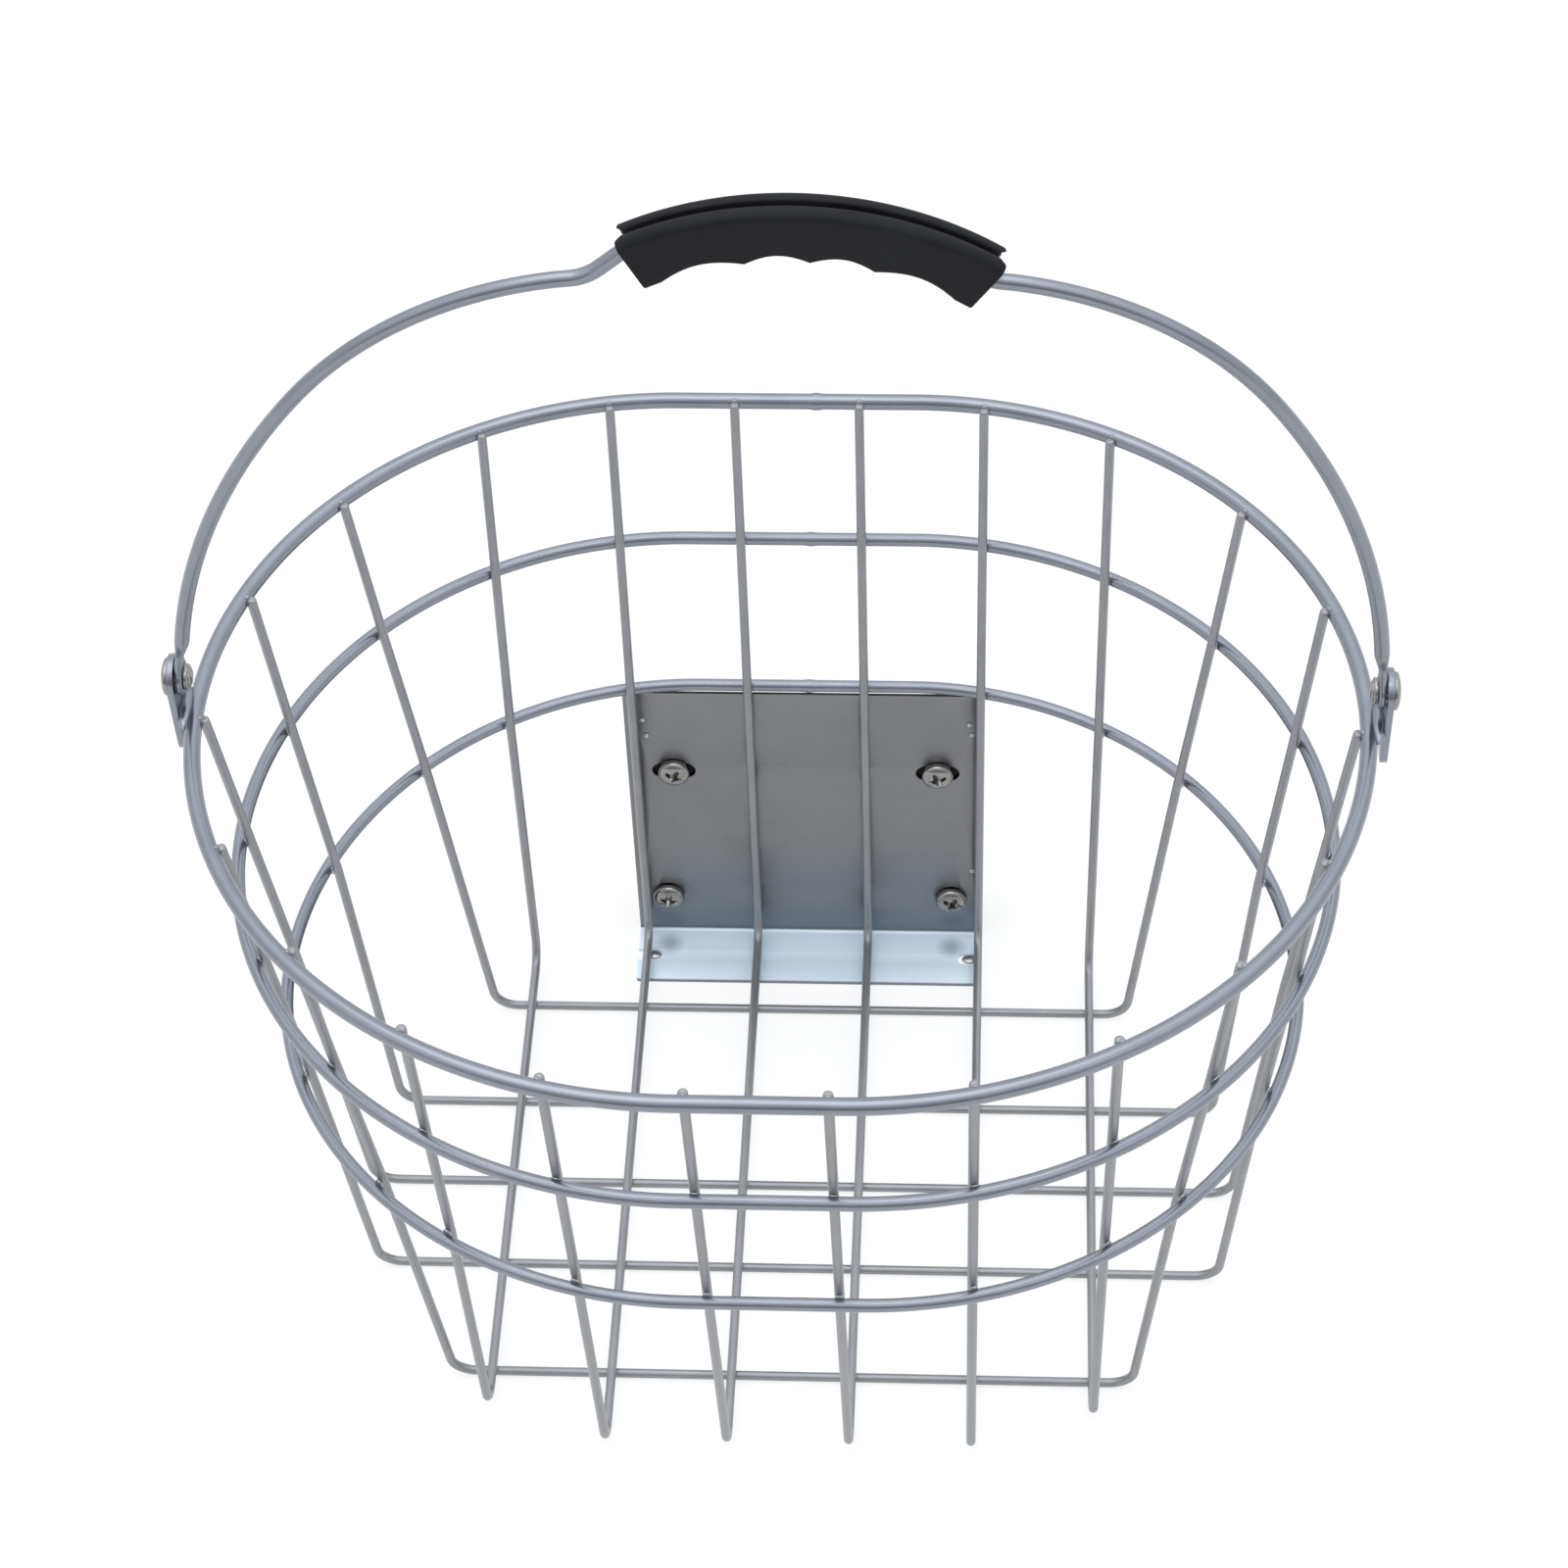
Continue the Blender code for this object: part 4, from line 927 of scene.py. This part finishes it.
def plate_front(sizes):
    """Front of the upright sheet: just behind the wall wires that pass over it."""
    lean = math.atan2(RIM_OVAL[1] - LONG_INNER_BENDS[0], RIM_HEIGHT)
    inset = (0.5 * (sizes.lower_wire + sizes.basket_wire) + SEAT_GAP) / math.cos(lean)
    place, _ = on_wall(LOWER_HEIGHT, inset, x=0.0)
    return max(place[1], LONG_INNER_BENDS[0]) + 0.5 * sizes.basket_wire + SEAT_GAP


def make_screws(sizes):
    """Pan heads as a height over a round grid: a dome, less a cross-shaped recess that narrows inwards."""
    seat = plate_front(sizes) - SEAT_GAP
    _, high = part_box("plate_screw_top_left")
    tip = high[1] - seat
    radius, height = SCREW_HEAD
    turn = ring_of_angles(96)
    r = np.concatenate([np.linspace(0.00005, 0.0034, 26), np.linspace(0.0036, radius, 12)])[:, None]
    top = SCREW_EDGE + (height - SCREW_EDGE) * np.sqrt(np.clip(1 - (r / radius) ** 2, 0, 1))
    shank = np.array([
        (radius, 0.0), (SCREW_SHANK, 0.0), (SCREW_SHANK, tip - SCREW_CHAMFER),
        (SCREW_SHANK - SCREW_CHAMFER, tip), (0.0002, tip)])
    reach = np.vstack([r, shank[:, :1]])
    for name, x, z in screw_places():
        u, v = (np.abs(r * wave(turn + SCREW_TURNS[name])) for wave in (np.cos, np.sin))
        long_side, short_side = np.maximum(u, v), np.minimum(u, v)
        depth = CROSS_DEPTH * np.clip((CROSS_REACH - long_side) / 0.0016, 0, 1)
        wing = np.clip((CROSS_WING - short_side) / 0.00030, 0, 1)
        core = np.clip((CROSS_CORE - (u + v)) / 0.0007, 0, 1)
        back = np.vstack([depth * np.maximum(wing, core) - top, np.tile(shank[:, 1:], (1, len(turn)))])
        grid = np.stack([x + reach * np.cos(turn), seat + back, z + reach * np.sin(turn)], -1)
        mount(skin(f"screw_{name}", grid), "basket", "chrome", f"plate_screw_{name}")


def make_plate(sizes):
    """Sheet cut flat, then bent: u across and s down the middle surface become the upright, a quarter
    turn and the flange."""
    mid_y = plate_front(sizes) + 0.5 * PLATE_THICKNESS
    mid_z = FLANGE_ABOVE_GROUND + 0.5 * PLATE_THICKNESS
    bend = PLATE_BEND + 0.5 * PLATE_THICKNESS
    top = LOWER_HEIGHT - 0.5 * sizes.lower_wire - SEAT_GAP
    upright = top - mid_z - bend
    quarter = 0.5 * math.pi * bend
    total = upright + quarter + (mid_y - bend - FLANGE_FRONT)
    half, corner, end = PLATE_HALF_WIDTH, PLATE_CORNER, FLANGE_CORNER
    notch_s = total - NOTCH_FROM_FRONT
    reach, notch = NOTCH_DEPTH - 0.5 * NOTCH_WIDTH, 0.5 * NOTCH_WIDTH
    right = np.vstack([
        arc2((half - corner, -corner), corner, 0.5 * math.pi, 0, 7),
        [(half, -notch_s + notch)],
        arc2((half - reach, -notch_s), notch, 0.5 * math.pi, 1.5 * math.pi, 13),
        [(half, -notch_s - notch)],
        arc2((half - end, -total + end), end, 0, -0.5 * math.pi, 5)])
    outlines = [np.vstack([right, right[::-1] * (-1, 1)])]
    for name, x, z in screw_places():
        level = name.startswith("top")
        run = 0.5 * ((TOP_SLOT if level else BOTTOM_SLOT) - SLOT_WIDTH)
        start, shift = (-0.5 * math.pi, (run, 0.0)) if level else (0.0, (0.0, run))
        centre = np.array([x - PLATE_CENTRE_X, z - top])
        outlines.append(np.vstack([
            arc2(centre + shift, 0.5 * SLOT_WIDTH, start, start + math.pi, 17),
            arc2(centre - shift, 0.5 * SLOT_WIDTH, start + math.pi, start + 2 * math.pi, 17)]))
    shape, mesh = filled("back_sheet", outlines)
    for s in np.linspace(upright, upright + quarter, 13):
        bmesh.ops.bisect_plane(
            shape, geom=shape.verts[:] + shape.edges[:] + shape.faces[:],
            plane_co=(0, -s, 0), plane_no=(0, 1, 0))

    def place(points):
        s = -points[:, 1]
        turn = np.clip((s - upright) / bend, 0, 0.5 * math.pi)
        y = mid_y - bend * (1 - np.cos(turn)) - np.clip(s - upright - quarter, 0, None)
        z = top - np.clip(s, None, upright) - bend * np.sin(turn)
        return np.stack([points[:, 0] + PLATE_CENTRE_X, y, z], -1)

    piece = pressed("back_sheet", shape, mesh, place, PLATE_THICKNESS, SHEET_BEVEL, "sheet_steel")
    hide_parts("mounting_plate")


def make_ears():
    """Ears: two circles and their common tangents, pressed from sheet, with rounded edges, and a weld bead
    along the rim under each, of radius r sqrt(1 - 0.97 s s) from end to end."""
    lean = math.asin((EAR_EYE - EAR_FOOT) / EAR_LENGTH)
    outline = np.vstack([
        arc2((0, 0), EAR_EYE, -lean, math.pi + lean, 33),
        arc2((0, -EAR_LENGTH), EAR_FOOT, math.pi + lean, 2 * math.pi - lean, 25)])
    hole = arc2((0, 0), RIVET_SHANK + SEAT_GAP, 0, 2 * math.pi, 25)[:-1]
    beside, _ = half_oval(RIM_HEIGHT, -BEAD_OUTSIDE)
    beside = beside[np.abs(beside[:, 1] - PIVOT[1] + BEAD_FORWARD) < BEAD_REACH]
    for sign, side in SIDES:
        shape, mesh = filled(f"ear_{side}", [outline, hole])
        x = sign * (EAR_INNER_X + 0.5 * EAR_THICKNESS)
        piece = pressed(
            f"ear_{side}", shape, mesh,
            lambda flat: np.column_stack([np.full(len(flat), x), PIVOT[1:] + flat[:, :2]]),
            EAR_THICKNESS, EAR_BEVEL, "satin_steel")
        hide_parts(f"handle_ear_{side}")
        path = np.insert(beside * (sign, 1), 2, RIM_HEIGHT + BEAD_ABOVE_RIM, axis=1)
        path = evenly(path, 0.0012)
        radii = BEAD_RADIUS * np.sqrt(1 - 0.97 * np.linspace(-1, 1, len(path)) ** 2)
        mount(wire(f"ear_weld_{side}", path, radii, 14, Z_AXIS), "basket", "satin_steel")


def make_grip(sizes):
    """Moulded channel: a C-shaped section carried round an arc, whose underside rises in four grooves."""
    _, _, crown_centre, corner = handle_line()
    apex = sway(crown_centre + (0, CROWN_RADIUS), corner[1])
    centre = np.array([apex[0] + GRIP_SHIFT, crown_centre[1]])
    crown_end = sway((corner + CRANK) * (-1, 1), corner[1])
    half, slit, inner = 0.5 * GRIP_DEPTH, 0.5 * GRIP_SLIT, 0.5 * sizes.bail_wire + SEAT_GAP
    ceiling = span(crown_end - centre) + inner
    top = ceiling + GRIP_LIP
    bottom = top - GRIP_HEIGHT
    floor = bottom + GRIP_FLOOR
    lip, quarter = GRIP_LIP_ROUND, 0.5 * math.pi
    outer = np.vstack([
        arc2((slit + lip, top - lip), lip, math.pi, quarter, 4),
        arc2((half - GRIP_TOP_ROUND, top - GRIP_TOP_ROUND), GRIP_TOP_ROUND, quarter, 0, 9),
        [(half, 0.5 * (top + bottom))],
        arc2((half - GRIP_LOW_ROUND, bottom + GRIP_LOW_ROUND), GRIP_LOW_ROUND, 0, -quarter, 7),
        [(0.0015, bottom), (0.0, bottom)]])
    inside = np.array([(0.0, floor), (inner, floor), (inner, ceiling), (slit, ceiling)])
    section = np.vstack([outer, outer[-2::-1] * (-1, 1), inside[:0:-1] * (-1, 1), inside])
    underside, steps = 9, 239
    follows = np.repeat([0.0, 1.0], (len(outer) - underside, underside))
    follows = np.concatenate([follows, follows[-2::-1], np.zeros(2 * len(inside) - 1)])
    reach = math.asin(0.5 * GRIP_LENGTH / top)
    ease = np.linspace(0, quarter, 5)
    end = reach - GRIP_END_ROUND / top * (1 - np.sin(ease))
    angle = np.concatenate([-end[::-1], np.linspace(-end[0], end[0], steps + 2)[1:-1], end])
    draw = GRIP_END_ROUND * (1 - np.cos(ease))
    draw = np.concatenate([draw[::-1], np.zeros(steps), draw])[:, None]
    stops = np.array([-reach + GRIP_END_LAND, -CUSP_SPACING, 0, CUSP_SPACING, reach - GRIP_END_LAND])
    which = np.clip(np.searchsorted(stops, angle) - 1, 0, 3)
    share = np.clip((angle - stops[which]) / (stops[which + 1] - stops[which]), 0, 1)
    rise = GROOVE_DEPTH * np.sin(np.pi * share)[:, None]
    ahead = unit(np.roll(section, -1, 0) - section)
    normal = unit(np.roll(ahead, 1, 0) + ahead)[:, ::-1] * (1, -1)
    shrunk = section + draw[..., None] * normal
    radius = shrunk[..., 1] + rise * follows
    lips = np.clip((0.0030 - np.abs(section[:, 0])) / 0.0014, 0, 1) * (section[:, 1] > ceiling - 1e-6)
    tilted = angle[:, None] * (1 - GRIP_NOTCH / (top * reach) * lips) + GRIP_TILT
    across, height = centre[0] + radius * np.sin(tilted), centre[1] + radius * np.cos(tilted)
    grid = np.stack([across, shrunk[..., 0], height], -1)
    piece = skin("hand_grip", grid + PIVOT)
    piece.data.set_sharp_from_angle(angle=math.radians(38))
    mount(piece, "handle", "black_plastic", "grip")


class BASKET_OT_rings(Operator):
    """Three closed rings of round wire with a butt weld at the back"""
    bl_idname = "basket.rings"
    bl_label = "Rings"

    def execute(self, context):
        sizes = context.scene.basket_sizes
        heat_at = [place + normal * 0.5 * sizes.basket_wire for place, normal in all_welds(sizes)]
        for name, (height, thickness), seam_x in zip(("lower", "middle", "rim"), rings(sizes), SEAM_X):
            half, _ = half_oval(height)
            outline = np.insert(np.vstack([half, half[::-1] * (-1, 1)]), 2, height, axis=1)
            path = evenly(outline, sizes.step, closed=True)
            seam = np.array([seam_x, path[:, 1].max(), height])
            swell = np.exp(-((span(path - seam) / SEAM_REACH) ** 2))
            radii = 0.5 * thickness * (1 + SEAM_SWELL * swell)
            piece = wire(f"{name}_ring_wire", path, radii, sizes.sides + 6, Z_AXIS, True, heat_at + [seam])
            mount(piece, "basket", "satin_steel", f"{name}_ring")
        return {"FINISHED"}


class BASKET_OT_long_wires(Operator):
    """Six U wires that run front to back"""
    bl_idname = "basket.long_wires"
    bl_label = "Long wires"

    def execute(self, context):
        make_wires("long", long_wire_line, 6, X_AXIS, context.scene.basket_sizes)
        return {"FINISHED"}


class BASKET_OT_cross_wires(Operator):
    """Five U wires that run side to side under the long wires"""
    bl_idname = "basket.cross_wires"
    bl_label = "Cross wires"

    def execute(self, context):
        make_wires("cross", cross_wire_line, 5, Y_AXIS, context.scene.basket_sizes)
        return {"FINISHED"}


class BASKET_OT_welds(Operator):
    """Weld nuggets between wires and rings, on the floor, and on the sheet"""
    bl_idname = "basket.welds"
    bl_label = "Welds"

    def execute(self, context):
        sizes = context.scene.basket_sizes
        nugget = sizes.nugget
        places, normals = (np.array(column) for column in zip(*all_welds(sizes)))
        reach = 0.5 * (sizes.basket_wire + SEAT_GAP)
        nuggets("wall_welds", places + normals * reach, frames_from(normals), WALL_WELD * nugget, "zinc")
        ends = places[:, 2] > 0.5 * (MIDDLE_HEIGHT + RIM_HEIGHT)
        blobs = places[ends] + normals[ends] * 0.5 * sizes.basket_wire + WIRE_ABOVE_RIM * Z_AXIS
        nuggets("end_welds", blobs, frames_from(normals[ends]), END_WELD * nugget, "wire_steel")
        crossings = floor_crossings(sizes)
        nuggets("floor_welds", crossings, [np.eye(3)] * len(crossings), FLOOR_WELD * nugget, "wire_steel")
        face = plate_front(sizes) - 0.0001
        dots = [(x, face, z) for x, z in SHEET_WELD_PLACES]
        nuggets("sheet_welds", dots, frames_from([Y_AXIS] * len(dots)), SHEET_WELD, "zinc")
        level = FLANGE_ABOVE_GROUND + 0.8 * PLATE_THICKNESS
        notches = [(x, FLANGE_FRONT + NOTCH_FROM_FRONT, level) for x in NOTCH_WELD_X]
        nuggets("notch_welds", notches, [np.eye(3)] * len(notches), NOTCH_WELD, "zinc")
        return {"FINISHED"}


class BASKET_OT_sheet(Operator):
    """Slotted sheet, bent to an L, at the back"""
    bl_idname = "basket.sheet"
    bl_label = "Back sheet"

    def execute(self, context):
        make_plate(context.scene.basket_sizes)
        return {"FINISHED"}


class BASKET_OT_fasteners(Operator):
    """Cross-head screws and the finishes of nuts and adapter"""
    bl_idname = "basket.fasteners"
    bl_label = "Fasteners and adapter"

    def execute(self, context):
        make_screws(context.scene.basket_sizes)
        for name, _, _ in screw_places():
            repaint(f"plate_nut_{name}", "zinc")
        repaint("bracket_adapter", "black_plastic")
        return {"FINISHED"}


def repaint(node, slot_name):
    """A CAD node keeps its shape and takes a finish of this scene."""
    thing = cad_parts[node]
    thing.data.materials.clear()
    thing.data.materials.append(finish(slot_name))


class BASKET_OT_hinges(Operator):
    """Ears on the rim and the rivets that the handle turns on"""
    bl_idname = "basket.hinges"
    bl_label = "Hinges"

    def execute(self, context):
        make_ears()
        make_rivets()
        return {"FINISHED"}


class BASKET_OT_handle(Operator):
    """Handle wire with pressed ends, and the moulded grip"""
    bl_idname = "basket.handle"
    bl_label = "Handle"

    def execute(self, context):
        sizes = context.scene.basket_sizes
        make_bail(sizes)
        make_grip(sizes)
        return {"FINISHED"}


class BASKET_OT_stage(Operator):
    """Floor, world, lamp and camera"""
    bl_idname = "basket.stage"
    bl_label = "Stage"

    def execute(self, context):
        stage = context.scene.basket_stage
        make_floor(stage, tuple(context.scene.basket_colours.floor))
        make_world()
        make_lamp(stage)
        make_camera(stage)
        context.scene.view_settings.view_transform = "Standard"
        return {"FINISHED"}


def seen_directly(paint):
    """One for rays that show the background, straight or in metal and glass, and nought for the rest."""
    camera, glossy, through = (
        paint.node("ShaderNodeLightPath", output=name)
        for name in ("Is Camera Ray", "Is Glossy Ray", "Is Transmission Ray"))
    return camera + glossy + through


def make_floor(stage, colour):
    """Wide pale floor that shows almost white where it is seen directly, and keeps its shadows."""
    mesh = bpy.data.meshes.new("floor")
    mesh.from_pydata([(-6, -6, 0), (6, -6, 0), (6, 6, 0), (-6, 6, 0)], [], [(0, 1, 2, 3)])
    floor = linked("floor", mesh)
    paint = Paint("Floor")
    direct = seen_directly(paint)
    lift = paint.mixed(direct, (0.0, 0.0, 0.0), (stage.floor_lift,) * 3)
    base = paint.mixed(direct, colour, (1.0 - stage.floor_lift,) * 3)
    paint.set(
        Base_Color=base, Roughness=0.9, Emission_Color=lift, Emission_Strength=1.0, Specular_IOR_Level=0.0)
    mesh.materials.append(paint.owner)


def make_world():
    """Bright overhead, fair at the back and sides, and dim low in front, where the camera stands."""
    paint = Paint("studio", "worlds", "Background")
    _, depth, height = paint.axes(paint.node("ShaderNodeTexCoord", output="Generated"))
    stops = [(place, (0.96 * level, level, 1.05 * level)) for place, level in WORLD_LEVELS]
    bpy.context.scene.world = paint.set(
        Color=paint.node("ShaderNodeValToRGB", {"stops": stops}, {0: height}),
        Strength=paint.spread(depth, -0.95, -0.50, 0.42, 1.0))


def make_lamp(stage):
    """Square soft box overhead."""
    light = bpy.data.lights.new("Overhead", "AREA")
    light.shape = "SQUARE"
    light.size = LAMP_SIZE
    light.energy = stage.overhead
    thing = linked("Overhead", light)
    thing.location = LAMP_PLACE
    thing.rotation_euler = (LAMP_AIM - LAMP_PLACE).to_track_quat("-Z", "Y").to_euler()


def make_camera(stage):
    """Camera at the photograph's place, with its own axes turned to right, up and back."""
    camera = bpy.data.cameras.new("Camera")
    camera.sensor_width = 36.0
    camera.lens = stage.focal
    camera.clip_start = 0.05
    camera.clip_end = 50.0
    thing = linked("Camera", camera)
    right, down, look = Vector(CAMERA_RIGHT), Vector(CAMERA_DOWN), Vector(CAMERA_LOOK)
    turn = Matrix((right, -down, -look)).transposed().to_4x4()
    thing.matrix_world = Matrix.Translation(CAMERA_PLACE) @ turn
    bpy.context.scene.camera = thing


MAKERS = (
    BASKET_OT_rings, BASKET_OT_long_wires, BASKET_OT_cross_wires, BASKET_OT_welds, BASKET_OT_sheet,
    BASKET_OT_fasteners, BASKET_OT_hinges, BASKET_OT_handle, BASKET_OT_stage,
)


class BASKET_PT_dressing(Panel):
    """Lists the pieces and the sizes and colours they are made with"""
    bl_idname = "BASKET_PT_dressing"
    bl_label = "Basket"
    bl_space_type = "VIEW_3D"
    bl_region_type = "UI"
    bl_category = "Basket"

    def draw(self, context):
        for maker in MAKERS:
            self.layout.operator(maker.bl_idname)
        for group in (context.scene.basket_sizes, context.scene.basket_colours, context.scene.basket_stage):
            column = self.layout.column()
            for name in type(group).__annotations__:
                column.prop(group, name)


CLASSES = (BasketSizes, BasketColours, BasketStage, *MAKERS, BASKET_PT_dressing)


def register():
    for item in CLASSES:
        bpy.utils.register_class(item)
    bpy.types.Scene.basket_sizes = PointerProperty(type=BasketSizes)
    bpy.types.Scene.basket_colours = PointerProperty(type=BasketColours)
    bpy.types.Scene.basket_stage = PointerProperty(type=BasketStage)


def unregister():
    del bpy.types.Scene.basket_stage
    del bpy.types.Scene.basket_colours
    del bpy.types.Scene.basket_sizes
    for item in reversed(CLASSES):
        bpy.utils.unregister_class(item)


def main():
    register()
    for maker in MAKERS:
        family, name = maker.bl_idname.split(".")
        getattr(getattr(bpy.ops, family), name)()


if __name__ == "__main__":
    main()
